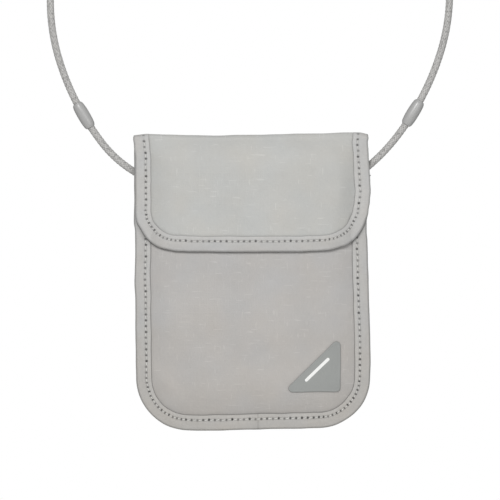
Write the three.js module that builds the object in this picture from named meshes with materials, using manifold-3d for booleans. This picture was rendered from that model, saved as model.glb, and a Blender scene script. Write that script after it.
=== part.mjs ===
// Neck pouch wallet: a flat fabric pouch with a fold-over flap, a zipped front pocket and a braided neck cord.
// Millimetres. The parts are drawn lying on their back: x runs to the right, y up the pouch, and z out of
// its front. The root group stands the pouch up, so that +Z is up and the front faces -Y. The origin is on
// the outer face of the back panel, near the centre of the pouch.
import * as THREE from "three";
import { mergeVertices } from "three/addons/utils/BufferGeometryUtils.js";
import Module from "manifold-3d";

const wasm = await Module();
wasm.setup();

// Pouch
const WIDTH = 140;
const HEIGHT = 175.6;
const TOP = 88.5;
const BODY_CORNER = 31; // radius of the pouch's bottom corners
const FLAP_LENGTH = 70.7; // from the fold down to the flap's bottom edge
const FLAP_CORNER = 26.5;
const TAPE_WIDTH = 9.2; // visible width of the folded edge tape
const STITCH_INSET = 6.5; // from the outer edge to the stitch line
const STITCH_WIDTH = 0.5;
const FOOT_INSET = 9.5; // where the flat rim ends and the slope of a filled panel starts
const SLOPE_RUN = 8.5;
const FOLD_CLEARANCE = 0.5; // from the body's top edge to the turning fold
const FLAP_LAP = 0.2; // how far the flap's sheet runs into its fold
const FLAP_LINING_DROP = 3; // from the fold down to the flap lining's top edge
const FLAP_THREAD_DROP = 0.3;

// Thicknesses
const FABRIC = 0.45;
const LINING = 0.25;
const EDGE_TAPE = 0.45;
const ZIP_TAPE = 0.3;
const THREAD = 0.25;
const PATCH = 1; // one half of the hook and loop closure
const LABEL = 0.6;
const MOUTH_TAPE = 0.35;
const PRINT = 0.2;
const GAP = 0.1; // between neighbouring layers
const PASSPORT_SPACE = 4.4; // depth of the main pocket when it holds a passport
const ZIP_SPACE = 1.1; // depth of the zipped pocket
const BACK_PROUD = 0.6; // how far the middle of the back stands behind the rim's layers
const FLAP_LIFT = 0.3; // from the stitches on the body to the flap's tape
const PATCH_CLEARANCE = 0.3;

// Zip and closure
const ZIP_Y = 57;
const ZIP_WINDOW = 7;
const ZIP_TAPE_WIDTH = 7;
const CHAIN_HALF = 45; // half the length of the row of coils
const COIL_HALF = 2.45; // from the zip's centre line to a coil's outer edge
const COIL_HEIGHT = 1;
const COIL_SPINE = 0.8;
const COIL_PITCH = 2;
const STOP_GAP = 0.2; // from the coils to the stops at their ends
const STOP_PROUD = 0.1;
const CHANNEL_HALF = 0.45; // room between the coils for the slider's neck
const TAPE_SLIT_HALF = 0.4;
const STOP_LENGTH = 1.6;
const SLIDER_LENGTH = 9;
const SLIDER_HALF_WIDTH = 3.1;
const SLIDER_PLATE = 0.5;
const SLIDER_NOSE = 1.2; // cut off each corner of the plates
const SLIDER_WALL = 0.45;
const SLIDER_NECK_HALF = 0.2;
const SLIDER_PLAY = 0.2; // from the back plate to the zip's tapes
const WALL_FOOT = 0.05; // from the zip's coil seat to the side walls
const POST_RADIUS = 0.6;
const HEAD_THICKNESS = 0.25;
const JOIN = 0.1; // how far a solid runs into the one it is joined to
const SLIDER_REST_X = 40;
const PULL_LENGTH = 11;
const PULL_WIDTH = 5;
const PULL_THICKNESS = 0.5;
const PULL_TOP_RADIUS = 2;
const PULL_CORNER = 1.5;
const PULL_PLAY = 0.13; // in front of and behind the pull
const PULL_HOLE_PLAY = 0.25; // round the post
const MOUTH_Y = 72;
const MOUTH_LEG = 7; // how far the mouth's tape reaches down the front panel
const MOUTH_END_GAP = 0.4; // from the mouth's tape to the side tapes
const BACK_LINING_TOP = 76;
const DIVIDER_TOP = 64;
const LINING_INSET = 1.5;
const DIVIDER_INSET = 1.2;
const PATCH_BOTTOM = 29;
const PATCH_TOP = 43;
const PATCH_HALF = 39;

// Label: a right triangle with its square corner at the lower right
const LABEL_RIGHT = 52.35;
const LABEL_BOTTOM = -64.85;
const LABEL_SIDE = 33.75; // to the sharp corners
const LABEL_CORNER = 2.3;
const MARK_LENGTH = 20;
const MARK_WIDTH = 1.8;
const MARK_INSET = 4.6; // from the label's long side

// Neck cord and its beads
const CORD_RADIUS = 2.15;
const SHEATH_BORE = 1.25;
const CORE_RADIUS = 0.95;
const CORD_Z = -2.4; // the cord lies behind the pouch
const EXIT_X = 70.5; // where the cord leaves the pouch and starts to bend
const CORD_END_GAP = 2.2; // rigid cord and cord end stop this short of the bending point
const CORD_SIDES = [
  {
    name: "left",
    sign: -1,
    exitY: 67,
    angle: THREE.MathUtils.degToRad(58.2),
    lowRadius: 70,
    lowLength: 25,
    radius: 155,
    bead: 44.8,
  },
  {
    name: "right",
    sign: 1,
    exitY: 70.8,
    angle: THREE.MathUtils.degToRad(49.3),
    lowRadius: 114,
    lowLength: 24,
    radius: 160,
    bead: 40.1,
  },
];
const SIDE_LENGTH = 80; // of cord on each side below the round top of the loop
const BEAD_LENGTH = 16.3;
const BEAD_RADIUS = 3.75;
const BEAD_END_RADIUS = 2.9;
const BEAD_BORE = 2.45;
const BEAD_CROWN = 0.96; // share of a full half-ellipse that the barrel's side follows
const BEAD_EDGE = 0.25; // broken edge at each end
const TAB_PLAY = 0.2; // from the cord to the tab over it
const TAB_HALF_LENGTH = 5;
const TAB_HALF_WIDTH = 5.2;
const TAB_FROM_EXIT = 9;
const CORD_END_LENGTH = 13;

// Steps of the round stretches
const ARC_STEPS = 8;
const CORD_STEPS = 72;
const POINT_SPACING = 4;
const CROWN_POINTS = 20; // on each half of the loop's round top
const RING_SIDES = 10;
const BORE_SIDES = 6;
const CORD_END_SIDES = 12;
const BEAD_SIDES = 18;
const BEAD_STEPS = 8;
const POST_SIDES = 16;

// Depths of the layers, from the back to the front, each at the flat rim and in the filled middle.
const BOTTOM = TOP - HEIGHT;
const HALF = WIDTH / 2;
const FOLD_OF_TAPE = EDGE_TAPE + GAP; // how far the layers stop short of the tape's outer fold
const rim = {};
const middle = {};
rim.bodyTape = 0.05;
rim.back = rim.bodyTape + EDGE_TAPE + GAP;
rim.lining = rim.back + FABRIC + GAP;
rim.divider = rim.lining + LINING + GAP;
rim.zipTape = rim.divider + LINING + GAP;
rim.front = rim.zipTape + ZIP_TAPE + GAP;
rim.bodyTapeFront = rim.front + FABRIC + GAP;
rim.bodyThread = rim.bodyTapeFront + EDGE_TAPE + GAP / 2;
rim.flapTape = rim.bodyThread + THREAD + FLAP_LIFT;
rim.flapLining = rim.flapTape + EDGE_TAPE + GAP;
rim.flap = rim.flapLining + LINING + GAP;
rim.flapTapeFront = rim.flap + FABRIC + GAP;
rim.flapThread = rim.flapTapeFront + EDGE_TAPE + GAP / 2;
middle.lining = rim.lining;
middle.divider = middle.lining + LINING + PASSPORT_SPACE;
middle.zipTape = middle.divider + LINING + ZIP_SPACE;
middle.front = middle.zipTape + ZIP_TAPE + GAP;
middle.loopPatch = middle.front + FABRIC + GAP;
middle.hookPatch = middle.loopPatch + PATCH + PATCH_CLEARANCE;
middle.flapLining = middle.hookPatch + PATCH + GAP;
const BODY_RISE = middle.front - rim.front;
const FLAP_RISE = middle.flapLining - rim.flapLining;

// The flap's fold: half a tube round the hinge axis, from the back of the pouch to the flap's front.
const FOLD_RADIUS = (rim.flap + FABRIC - rim.back) / 2;
const HINGE_Z = rim.back + FOLD_RADIUS;
const HINGE_Y = TOP - FOLD_RADIUS;
const BODY_TOP = HINGE_Y - FOLD_RADIUS - FOLD_CLEARANCE;

// Room round everything, for the solids that cut
const FAR = 300;

// ---- Solids -------------------------------------------------------------------------------------

function solid(geometry) {
  const bare = geometry.clone();
  bare.deleteAttribute("normal");
  bare.deleteAttribute("uv");
  const merged = mergeVertices(bare, 1e-4);
  return new wasm.Manifold(
    new wasm.Mesh({
      numProp: 3,
      vertProperties: new Float32Array(merged.attributes.position.array),
      triVerts: new Uint32Array(merged.index.array),
    }),
  );
}

function geometryOf(made) {
  const { numProp, vertProperties, triVerts } = made.getMesh();
  const positions = new Float32Array((vertProperties.length / numProp) * 3);
  for (let i = 0; i * numProp < vertProperties.length; i++) {
    positions.set(vertProperties.subarray(i * numProp, i * numProp + 3), i * 3);
  }
  const geometry = new THREE.BufferGeometry();
  geometry.setAttribute("position", new THREE.BufferAttribute(positions, 3));
  geometry.setIndex(new THREE.BufferAttribute(new Uint32Array(triVerts), 1));
  const flat = geometry.toNonIndexed();
  flat.computeVertexNormals();
  return flat;
}

function extruded(shape, from, to) {
  const options = { depth: to - from, bevelEnabled: false, curveSegments: ARC_STEPS };
  return new THREE.ExtrudeGeometry(shape, options).translate(0, 0, from);
}

function prism(shape, from = -FAR, to = FAR) {
  return solid(extruded(shape, from, to));
}

function rectangle(x0, y0, x1, y1) {
  return new THREE.Shape([
    new THREE.Vector2(x0, y0),
    new THREE.Vector2(x1, y0),
    new THREE.Vector2(x1, y1),
    new THREE.Vector2(x0, y1),
  ]);
}

// A panel with a square top and rounded bottom corners, moved in by `inset` at the sides and the bottom.
function panelShape(bottom, corner, inset, top) {
  const half = HALF - inset;
  const radius = corner - inset;
  const low = bottom + inset;
  const shape = new THREE.Shape();
  shape.moveTo(-half, top);
  shape.lineTo(-half, low + radius);
  shape.absarc(-half + radius, low + radius, radius, Math.PI, 1.5 * Math.PI);
  shape.absarc(half - radius, low + radius, radius, 1.5 * Math.PI, 2 * Math.PI);
  shape.lineTo(half, top);
  return shape;
}

const bodyShape = (inset, top = BODY_TOP) => panelShape(BOTTOM, BODY_CORNER, inset, top);
const flapShape = (inset, top = HINGE_Y) => panelShape(TOP - FLAP_LENGTH, FLAP_CORNER, inset, top);

// Where a filled panel leaves its flat rim. The body is open at the mouth and the flap at its bottom edge.
const BODY_FOOT = bodyShape(FOOT_INSET, FAR);
const FLAP_FOOT = rectangle(-HALF + FOOT_INSET, -FAR, HALF - FOOT_INSET, TOP - FOOT_INSET);
const EVERYWHERE = rectangle(-FAR, -FAR, FAR, FAR);

// Everything behind a surface that stands at `depth` over the rim and `rise` further out over the middle.
function mound(foot, depth, rise) {
  const slope = new THREE.ExtrudeGeometry(foot, {
    depth: 1,
    bevelEnabled: true,
    bevelSegments: 1,
    bevelThickness: rise,
    bevelSize: SLOPE_RUN,
    bevelOffset: -SLOPE_RUN,
    curveSegments: ARC_STEPS,
  });
  return prism(EVERYWHERE, -FAR, depth).add(solid(slope.translate(0, 0, depth - 1)));
}

// A sheet of even thickness that follows the filled shape, before its outline is cut.
function sheet(foot, depth, rise, thickness) {
  return mound(foot, depth + thickness, rise).subtract(mound(foot, depth, rise));
}

const bodySheet = (depth, thickness) => sheet(BODY_FOOT, depth, BODY_RISE, thickness);
const flapSheet = (depth, thickness) => sheet(FLAP_FOOT, depth, FLAP_RISE, thickness);

// ---- Materials and meshes -----------------------------------------------------------------------

const LOOKS = {
  fabric: { color: 0xc1c1be, roughness: 0.82, metalness: 0 },
  panel: { color: 0xb7b5b4, roughness: 0.82, metalness: 0 },
  edgeTape: { color: 0xb5b4b2, roughness: 0.75, metalness: 0 },
  lining: { color: 0x9fa1a4, roughness: 0.55, metalness: 0 },
  thread: { color: 0xc9c8c5, roughness: 0.7, metalness: 0 },
  label: { color: 0x9c9e9c, roughness: 0.6, metalness: 0 },
  print: { color: 0xf2f2f0, roughness: 0.6, metalness: 0 },
  zipTape: { color: 0xa8a8a6, roughness: 0.8, metalness: 0 },
  coil: { color: 0x9a9b9b, roughness: 0.45, metalness: 0 },
  metal: { color: 0xa7a8aa, roughness: 0.35, metalness: 0.9 },
  patch: { color: 0xadadab, roughness: 0.95, metalness: 0 },
  cord: { color: 0xadadab, roughness: 0.8, metalness: 0 },
  bead: { color: 0xaaaaa9, roughness: 0.4, metalness: 0 },
};

function mesh(name, look, geometry) {
  const made = new THREE.Mesh(geometry, new THREE.MeshStandardMaterial(LOOKS[look]));
  made.name = name;
  return made;
}

const cutMesh = (name, look, made) => mesh(name, look, geometryOf(made));

// ---- Pouch body ---------------------------------------------------------------------------------

function backPanel() {
  const depth = -rim.back - FABRIC;
  const panel = sheet(BODY_FOOT, depth, BACK_PROUD, FABRIC);
  const made = cutMesh("back_panel", "panel", panel.intersect(prism(bodyShape(FOLD_OF_TAPE + GAP))));
  made.rotation.y = Math.PI; // drawn proud towards the front, and turned to stand proud at the back
  return made;
}

function backLining() {
  const shape = bodyShape(LINING_INSET, BACK_LINING_TOP);
  return mesh("back_lining", "lining", extruded(shape, rim.lining, rim.lining + LINING));
}

function pocketDivider() {
  const filled = sheet(BODY_FOOT, rim.divider, middle.divider - rim.divider, LINING);
  return cutMesh("pocket_divider", "lining", filled.intersect(prism(bodyShape(DIVIDER_INSET, DIVIDER_TOP))));
}

function frontPanels() {
  const front = bodySheet(rim.front, FABRIC).intersect(prism(bodyShape(FOLD_OF_TAPE + GAP)));
  const below = rectangle(-FAR, -FAR, FAR, ZIP_Y - ZIP_WINDOW / 2);
  const above = rectangle(-FAR, ZIP_Y + ZIP_WINDOW / 2, FAR, MOUTH_Y);
  return [
    cutMesh("front_panel", "panel", front.intersect(prism(below))),
    cutMesh("front_upper_panel", "panel", front.intersect(prism(above))),
  ];
}

// The tape folded over the top edge of the front pocket.
function mouthBinding() {
  const ends = HALF - TAPE_WIDTH - MOUTH_END_GAP;
  const outer = bodySheet(rim.front - GAP - MOUTH_TAPE, FABRIC + 2 * (GAP + MOUTH_TAPE));
  const slot = bodySheet(rim.front - GAP, FABRIC + 2 * GAP);
  const around = prism(rectangle(-ends, MOUTH_Y - MOUTH_LEG, ends, MOUTH_Y + GAP + MOUTH_TAPE));
  const inside = prism(rectangle(-FAR, -FAR, FAR, MOUTH_Y + GAP));
  return cutMesh("mouth_binding", "edgeTape", outer.intersect(around).subtract(slot.intersect(inside)));
}

// The tape folded round the sides and the bottom of all the layers.
function bodyBinding() {
  const outer = prism(bodyShape(0), rim.bodyTape, rim.bodyTapeFront + EDGE_TAPE);
  const slot = prism(bodyShape(FOLD_OF_TAPE, FAR), rim.bodyTape + EDGE_TAPE, rim.bodyTapeFront);
  const opening = prism(bodyShape(TAPE_WIDTH, FAR));
  return cutMesh("body_binding", "edgeTape", outer.subtract(slot).subtract(opening));
}

function bodySeamThread() {
  const outer = prism(bodyShape(STITCH_INSET - STITCH_WIDTH / 2), rim.bodyThread, rim.bodyThread + THREAD);
  const opening = prism(bodyShape(STITCH_INSET + STITCH_WIDTH / 2, FAR));
  return cutMesh("body_seam_thread", "thread", outer.subtract(opening));
}

function loopPatch() {
  const shape = rectangle(-PATCH_HALF, PATCH_BOTTOM, PATCH_HALF, PATCH_TOP);
  return mesh("loop_patch", "patch", extruded(shape, middle.loopPatch, middle.loopPatch + PATCH));
}

// ---- Label --------------------------------------------------------------------------------------

// A right triangle with rounded corners: an arc about each corner's centre, run round anticlockwise.
function labelShape() {
  const r = LABEL_CORNER;
  const toSharpCorner = r / Math.tan(Math.PI / 8);
  const right = LABEL_RIGHT - r;
  const low = LABEL_BOTTOM + r;
  const shape = new THREE.Shape();
  shape.absarc(LABEL_RIGHT - LABEL_SIDE + toSharpCorner, low, r, 0.75 * Math.PI, 1.5 * Math.PI);
  shape.absarc(right, low, r, -0.5 * Math.PI, 0);
  shape.absarc(right, LABEL_BOTTOM + LABEL_SIDE - toSharpCorner, r, 0, 0.75 * Math.PI);
  return shape;
}

function labelPatch() {
  const patch = bodySheet(rim.front + FABRIC + GAP, LABEL).intersect(prism(labelShape()));
  return cutMesh("label_patch", "label", patch);
}

// A plain bar printed along the label's long side.
function labelMark() {
  const bar = rectangle(-MARK_LENGTH / 2, -MARK_WIDTH / 2, MARK_LENGTH / 2, MARK_WIDTH / 2);
  const geometry = extruded(bar, 0, PRINT);
  const made = mesh("label_mark", "print", geometry);
  const inset = MARK_INSET * Math.SQRT1_2;
  const centre = [LABEL_RIGHT - LABEL_SIDE / 2 + inset, LABEL_BOTTOM + LABEL_SIDE / 2 - inset];
  made.rotation.z = Math.PI / 4;
  made.position.set(centre[0], centre[1], middle.front + FABRIC + GAP + LABEL + GAP);
  return made;
}

// ---- Zip ----------------------------------------------------------------------------------------

function zipTapes() {
  const tape = bodySheet(rim.zipTape, ZIP_TAPE).intersect(prism(bodyShape(DIVIDER_INSET)));
  const strip = (from, to) => prism(rectangle(-FAR, Math.min(from, to), FAR, Math.max(from, to)));
  return [
    ["zip_tape_lower", -1],
    ["zip_tape_upper", 1],
  ].map(([name, side]) => {
    const inner = ZIP_Y + side * TAPE_SLIT_HALF;
    return cutMesh(name, "zipTape", tape.intersect(strip(inner, inner + side * ZIP_TAPE_WIDTH)));
  });
}

const COIL_Z = middle.zipTape + ZIP_TAPE + GAP;

// One row of the zip's coil, as a comb whose teeth point at the zip's centre line.
function zipCoil(name, side) {
  const outer = ZIP_Y + side * COIL_HALF;
  const root = outer - side * COIL_SPINE;
  const tip = ZIP_Y + side * CHANNEL_HALF;
  const points = [new THREE.Vector2(-CHAIN_HALF, outer), new THREE.Vector2(CHAIN_HALF, outer)];
  const offset = side > 0 ? 0 : COIL_PITCH / 2;
  for (let x = CHAIN_HALF - offset; x - COIL_PITCH / 2 >= -CHAIN_HALF; x -= COIL_PITCH) {
    points.push(
      new THREE.Vector2(x, root),
      new THREE.Vector2(x, tip),
      new THREE.Vector2(x - COIL_PITCH / 2, tip),
      new THREE.Vector2(x - COIL_PITCH / 2, root),
    );
  }
  const ends = points.filter((p, i) => i < 2 || p.x > -CHAIN_HALF || p.y !== root);
  ends.push(new THREE.Vector2(-CHAIN_HALF, ends.at(-1).x > -CHAIN_HALF ? root : tip));
  return mesh(name, "coil", extruded(new THREE.Shape(ends), COIL_Z, COIL_Z + COIL_HEIGHT));
}

function zipStop(name, x, from, to) {
  const shape = rectangle(x, ZIP_Y + from, x + STOP_LENGTH, ZIP_Y + to);
  return mesh(name, "metal", extruded(shape, COIL_Z, COIL_Z + COIL_HEIGHT + STOP_PROUD));
}

function zipStops() {
  const beyond = CHAIN_HALF + STOP_GAP;
  return [
    zipStop("zip_bottom_stop", -beyond - STOP_LENGTH, -COIL_HALF, COIL_HALF),
    zipStop("zip_top_stop_lower", beyond, -COIL_HALF, -CHANNEL_HALF),
    zipStop("zip_top_stop_upper", beyond, CHANNEL_HALF, COIL_HALF),
  ];
}

const PLATE_Z = COIL_Z + COIL_HEIGHT + STOP_PROUD + 0.05;
const PULL_Z = PLATE_Z + SLIDER_PLATE + PULL_PLAY;

// Two plates joined by a thin neck, with side walls outside the coils and a headed post for the pull.
function zipSlider() {
  const half = SLIDER_LENGTH / 2;
  const wide = SLIDER_HALF_WIDTH;
  const nose = SLIDER_NOSE;
  const backPlate = middle.zipTape - SLIDER_PLAY - SLIDER_PLATE;
  const outline = new THREE.Shape([
    new THREE.Vector2(-half, -wide + nose),
    new THREE.Vector2(-half + nose, -wide),
    new THREE.Vector2(half - nose, -wide),
    new THREE.Vector2(half, -wide + nose),
    new THREE.Vector2(half, wide - nose),
    new THREE.Vector2(half - nose, wide),
    new THREE.Vector2(-half + nose, wide),
    new THREE.Vector2(-half, wide - nose),
  ]);
  const post = (radius, from, to) => {
    const turned = new THREE.CylinderGeometry(radius, radius, to - from, POST_SIDES).rotateX(Math.PI / 2);
    return solid(turned.translate(0, 0, (from + to) / 2));
  };
  const plateTop = PLATE_Z + SLIDER_PLATE;
  const headZ = PULL_Z + PULL_THICKNESS + PULL_PLAY;
  const wall = (y) =>
    prism(rectangle(-half + nose, y, half - nose, y + SLIDER_WALL), COIL_Z + WALL_FOOT, plateTop - JOIN);
  const neck = rectangle(-nose, -SLIDER_NECK_HALF, nose, SLIDER_NECK_HALF);
  const made = prism(outline, PLATE_Z, plateTop)
    .add(prism(outline, backPlate, backPlate + SLIDER_PLATE))
    .add(prism(neck, backPlate + JOIN, plateTop - JOIN))
    .add(wall(-wide))
    .add(wall(wide - SLIDER_WALL))
    .add(post(POST_RADIUS, plateTop - JOIN, headZ + JOIN))
    .add(post(2 * POST_RADIUS, headZ, headZ + HEAD_THICKNESS));
  return cutMesh("zip_slider_body", "metal", made);
}

// The pull hangs from the slider's post.
function zipPull() {
  const half = PULL_WIDTH / 2;
  const shape = new THREE.Shape();
  const corner = PULL_CORNER;
  const low = -PULL_LENGTH + corner;
  shape.absarc(0, 0, PULL_TOP_RADIUS, 0, Math.PI);
  shape.lineTo(-half, low);
  shape.absarc(-half + corner, low, corner, Math.PI, 1.5 * Math.PI);
  shape.absarc(half - corner, low, corner, 1.5 * Math.PI, 2 * Math.PI);
  const hole = new THREE.Path();
  hole.absarc(0, 0, POST_RADIUS + PULL_HOLE_PLAY, 0, 2 * Math.PI, true);
  shape.holes.push(hole);
  return mesh("zip_pull_tab", "metal", extruded(shape, PULL_Z, PULL_Z + PULL_THICKNESS));
}

// ---- Flap ---------------------------------------------------------------------------------------

function foldSolid() {
  const profile = new THREE.Shape();
  profile.absarc(0, 0, FOLD_RADIUS, 0, Math.PI);
  profile.absarc(0, 0, FOLD_RADIUS - FABRIC, Math.PI, 0, true);
  const length = WIDTH - 2 * (FOLD_OF_TAPE + GAP);
  const options = { depth: length, bevelEnabled: false, curveSegments: 2 * ARC_STEPS };
  const tube = new THREE.ExtrudeGeometry(profile, options).translate(0, 0, -length / 2);
  return solid(tube.rotateY(-Math.PI / 2).translate(0, HINGE_Y, HINGE_Z));
}

function flapPanel() {
  const outline = prism(flapShape(FOLD_OF_TAPE + GAP, HINGE_Y + FLAP_LAP));
  const panel = flapSheet(rim.flap, FABRIC).intersect(outline);
  return cutMesh("flap_panel", "fabric", panel.add(foldSolid()));
}

function flapLining() {
  const outline = prism(flapShape(LINING_INSET, HINGE_Y - FLAP_LINING_DROP));
  const lining = flapSheet(rim.flapLining, LINING).intersect(outline);
  return cutMesh("flap_lining", "lining", lining);
}

function flapBinding() {
  const thickness = rim.flapTapeFront + EDGE_TAPE - rim.flapTape;
  const outer = flapSheet(rim.flapTape, thickness).intersect(prism(flapShape(0)));
  const slotSheet = flapSheet(rim.flapTape + EDGE_TAPE, thickness - 2 * EDGE_TAPE);
  const slot = slotSheet.intersect(prism(flapShape(FOLD_OF_TAPE, FAR)));
  const opening = prism(flapShape(TAPE_WIDTH, FAR));
  return cutMesh("flap_binding", "edgeTape", outer.subtract(slot).subtract(opening));
}

function flapSeamThread() {
  const band = prism(flapShape(STITCH_INSET - STITCH_WIDTH / 2, HINGE_Y - FLAP_THREAD_DROP));
  const opening = prism(flapShape(STITCH_INSET + STITCH_WIDTH / 2, FAR));
  const thread = flapSheet(rim.flapThread, THREAD).intersect(band).subtract(opening);
  return cutMesh("flap_seam_thread", "thread", thread);
}

function hookPatch() {
  const shape = rectangle(-PATCH_HALF, PATCH_BOTTOM, PATCH_HALF, PATCH_TOP);
  return mesh("hook_patch", "patch", extruded(shape, middle.hookPatch, middle.hookPatch + PATCH));
}

// ---- Neck cord ----------------------------------------------------------------------------------

// A point of a side's cord, `length` along from its exit, with its direction measured from straight up.
// The cord leaves along a tighter low arc and goes on along an even arc that the bead slides on.
function sidePoint(side, length) {
  const low = Math.min(length, side.lowLength);
  const rest = Math.max(0, length - side.lowLength);
  const bend = (from, start, radius, run) => {
    const end = start - run / radius;
    return {
      x: from.x + radius * (Math.cos(end) - Math.cos(start)),
      y: from.y + radius * (Math.sin(start) - Math.sin(end)),
      angle: end,
    };
  };
  const first = bend({ x: EXIT_X, y: side.exitY }, side.angle, side.lowRadius, low);
  return bend(first, first.angle, side.radius, rest);
}

function sideVector(side, length) {
  const point = sidePoint(side, length);
  return new THREE.Vector3(side.sign * point.x, point.y, CORD_Z);
}

// The direction in which a side's cord leaves the pouch, or runs at `length`.
function sideDirection(side, length) {
  const { angle } = sidePoint(side, length);
  return new THREE.Vector3(side.sign * Math.sin(angle), Math.cos(angle), 0);
}

// Half of the loop's round top: from the end of a side to the highest point.
function topCurve(side, crown) {
  const start = sideVector(side, SIDE_LENGTH);
  const { angle } = sidePoint(side, SIDE_LENGTH);
  const radius = Math.abs(start.x) / Math.cos(angle);
  const handle = (4 / 3) * Math.tan((angle + Math.PI / 2) / 4) * radius;
  return new THREE.CubicBezierCurve3(
    start,
    start.clone().addScaledVector(sideDirection(side, SIDE_LENGTH), handle),
    crown.clone().add(new THREE.Vector3(side.sign * handle, 0, 0)),
    crown,
  );
}

function crownPoint() {
  const heights = CORD_SIDES.map((side) => {
    const { x, y, angle } = sidePoint(side, SIDE_LENGTH);
    return y + (x / Math.cos(angle)) * (1 + Math.sin(angle));
  });
  return new THREE.Vector3(0, (heights[0] + heights[1]) / 2, CORD_Z);
}

function cordPath() {
  const crown = crownPoint();
  const [left, right] = CORD_SIDES.map((side) => {
    const points = [];
    for (let length = CORD_END_GAP; length < SIDE_LENGTH - POINT_SPACING / 4; length += POINT_SPACING) {
      points.push(sideVector(side, length));
    }
    return points.concat(topCurve(side, crown).getSpacedPoints(CROWN_POINTS));
  });
  return new THREE.CatmullRomCurve3(left.concat(right.reverse().slice(1)));
}

function circlePath(radius, sides, Kind = THREE.Shape) {
  const points = [];
  for (let i = 0; i < sides; i++) {
    const angle = (2 * Math.PI * i) / sides;
    points.push(new THREE.Vector2(radius * Math.cos(angle), radius * Math.sin(angle)));
  }
  return new Kind(points);
}

function neckCord() {
  const path = cordPath();
  const ring = circlePath(CORD_RADIUS, RING_SIDES);
  ring.holes.push(circlePath(SHEATH_BORE, BORE_SIDES, THREE.Path));
  const along = (shape) =>
    new THREE.ExtrudeGeometry(shape, { steps: CORD_STEPS, extrudePath: path, bevelEnabled: false });
  return [
    mesh("neck_cord_sheath", "cord", along(ring)),
    mesh("neck_cord_core", "thread", along(circlePath(CORE_RADIUS, BORE_SIDES))),
  ];
}

// A barrel with a bore, turned about its own length.
function bead(side) {
  const half = BEAD_LENGTH / 2;
  const profile = [new THREE.Vector2(BEAD_BORE, -half)];
  for (let i = 0; i <= BEAD_STEPS; i++) {
    const t = (2 * i) / BEAD_STEPS - 1;
    const radius = BEAD_END_RADIUS + (BEAD_RADIUS - BEAD_END_RADIUS) * Math.sqrt(1 - t * t * BEAD_CROWN);
    profile.push(new THREE.Vector2(radius - (Math.abs(t) === 1 ? BEAD_EDGE : 0), t * (half - BEAD_EDGE)));
  }
  profile.push(new THREE.Vector2(BEAD_BORE, half), new THREE.Vector2(BEAD_BORE, -half));
  const made = mesh(side.name + "_bead", "bead", new THREE.LatheGeometry(profile, BEAD_SIDES));
  const inward = (BEAD_LENGTH * BEAD_LENGTH) / (16 * side.radius); // half the cord's bend inside the bore
  const along = sideDirection(side, side.bead);
  const towardsCentre = new THREE.Vector3(-side.sign * along.y, side.sign * along.x, 0);
  made.position.copy(sideVector(side, side.bead)).addScaledVector(towardsCentre, inward);
  made.quaternion.setFromUnitVectors(new THREE.Vector3(0, 1, 0), along);
  return made;
}

// The sewn end of the cord, behind the pouch.
function cordEnd(side) {
  const length = CORD_END_LENGTH - CORD_END_GAP;
  const geometry = new THREE.CylinderGeometry(CORD_RADIUS, CORD_RADIUS, length, CORD_END_SIDES);
  const made = mesh(side.name + "_cord_end", "cord", geometry);
  const outward = sideDirection(side, 0);
  made.position.copy(sideVector(side, 0)).addScaledVector(outward, -CORD_END_GAP - length / 2);
  made.quaternion.setFromUnitVectors(new THREE.Vector3(0, 1, 0), outward);
  return made;
}

// A fabric tab that arches over the cord's end, with a flange on each side.
function anchorTab(side) {
  const inner = CORD_RADIUS + TAB_PLAY;
  const outer = inner + FABRIC;
  const centre = -CORD_Z;
  const foot = GAP;
  const profile = new THREE.Shape();
  profile.moveTo(TAB_HALF_WIDTH, foot);
  profile.lineTo(TAB_HALF_WIDTH, foot + FABRIC);
  profile.lineTo(outer, foot + FABRIC);
  profile.absarc(0, centre, outer, 0, Math.PI);
  profile.lineTo(-outer, foot + FABRIC);
  profile.lineTo(-TAB_HALF_WIDTH, foot + FABRIC);
  profile.lineTo(-TAB_HALF_WIDTH, foot);
  profile.lineTo(-inner, foot);
  profile.absarc(0, centre, inner, Math.PI, 0, true);
  profile.lineTo(inner, foot);
  const made = mesh(side.name + "_anchor_tab", "fabric", extruded(profile, -TAB_HALF_LENGTH, TAB_HALF_LENGTH));
  const outward = sideDirection(side, 0);
  const back = new THREE.Vector3(0, 0, -1);
  const across = back.clone().cross(outward);
  made.quaternion.setFromRotationMatrix(new THREE.Matrix4().makeBasis(across, back, outward));
  made.position.copy(sideVector(side, 0)).addScaledVector(outward, -TAB_FROM_EXIT).setZ(0);
  return made;
}

// ---- Assembly -----------------------------------------------------------------------------------

function pouchBody() {
  const group = new THREE.Group();
  group.add(backPanel(), backLining(), pocketDivider(), ...frontPanels(), mouthBinding());
  group.add(bodyBinding(), bodySeamThread(), labelPatch(), labelMark(), loopPatch());
  group.add(...zipTapes(), zipCoil("zip_coil_lower", -1), zipCoil("zip_coil_upper", 1), ...zipStops());
  CORD_SIDES.forEach((side) => group.add(anchorTab(side), cordEnd(side)));
  return group;
}

function zipSliderGroup() {
  const group = new THREE.Group();
  group.add(zipSlider(), zipPull());
  group.position.set(SLIDER_REST_X, ZIP_Y, 0);
  return group;
}

function flap() {
  const group = new THREE.Group();
  group.add(flapPanel(), flapLining(), flapBinding(), flapSeamThread(), hookPatch());
  return group;
}

function cord() {
  const group = new THREE.Group();
  group.add(...neckCord(), ...CORD_SIDES.map(bead));
  return group;
}

const neckPouch = new THREE.Group();
neckPouch.add(pouchBody(), zipSliderGroup(), flap(), cord());
neckPouch.rotation.x = Math.PI / 2;

export default neckPouch;
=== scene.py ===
"""Looks of the neck pouch wallet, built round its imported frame. Lengths are in millimetres until `world`."""
import math
import random

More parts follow.
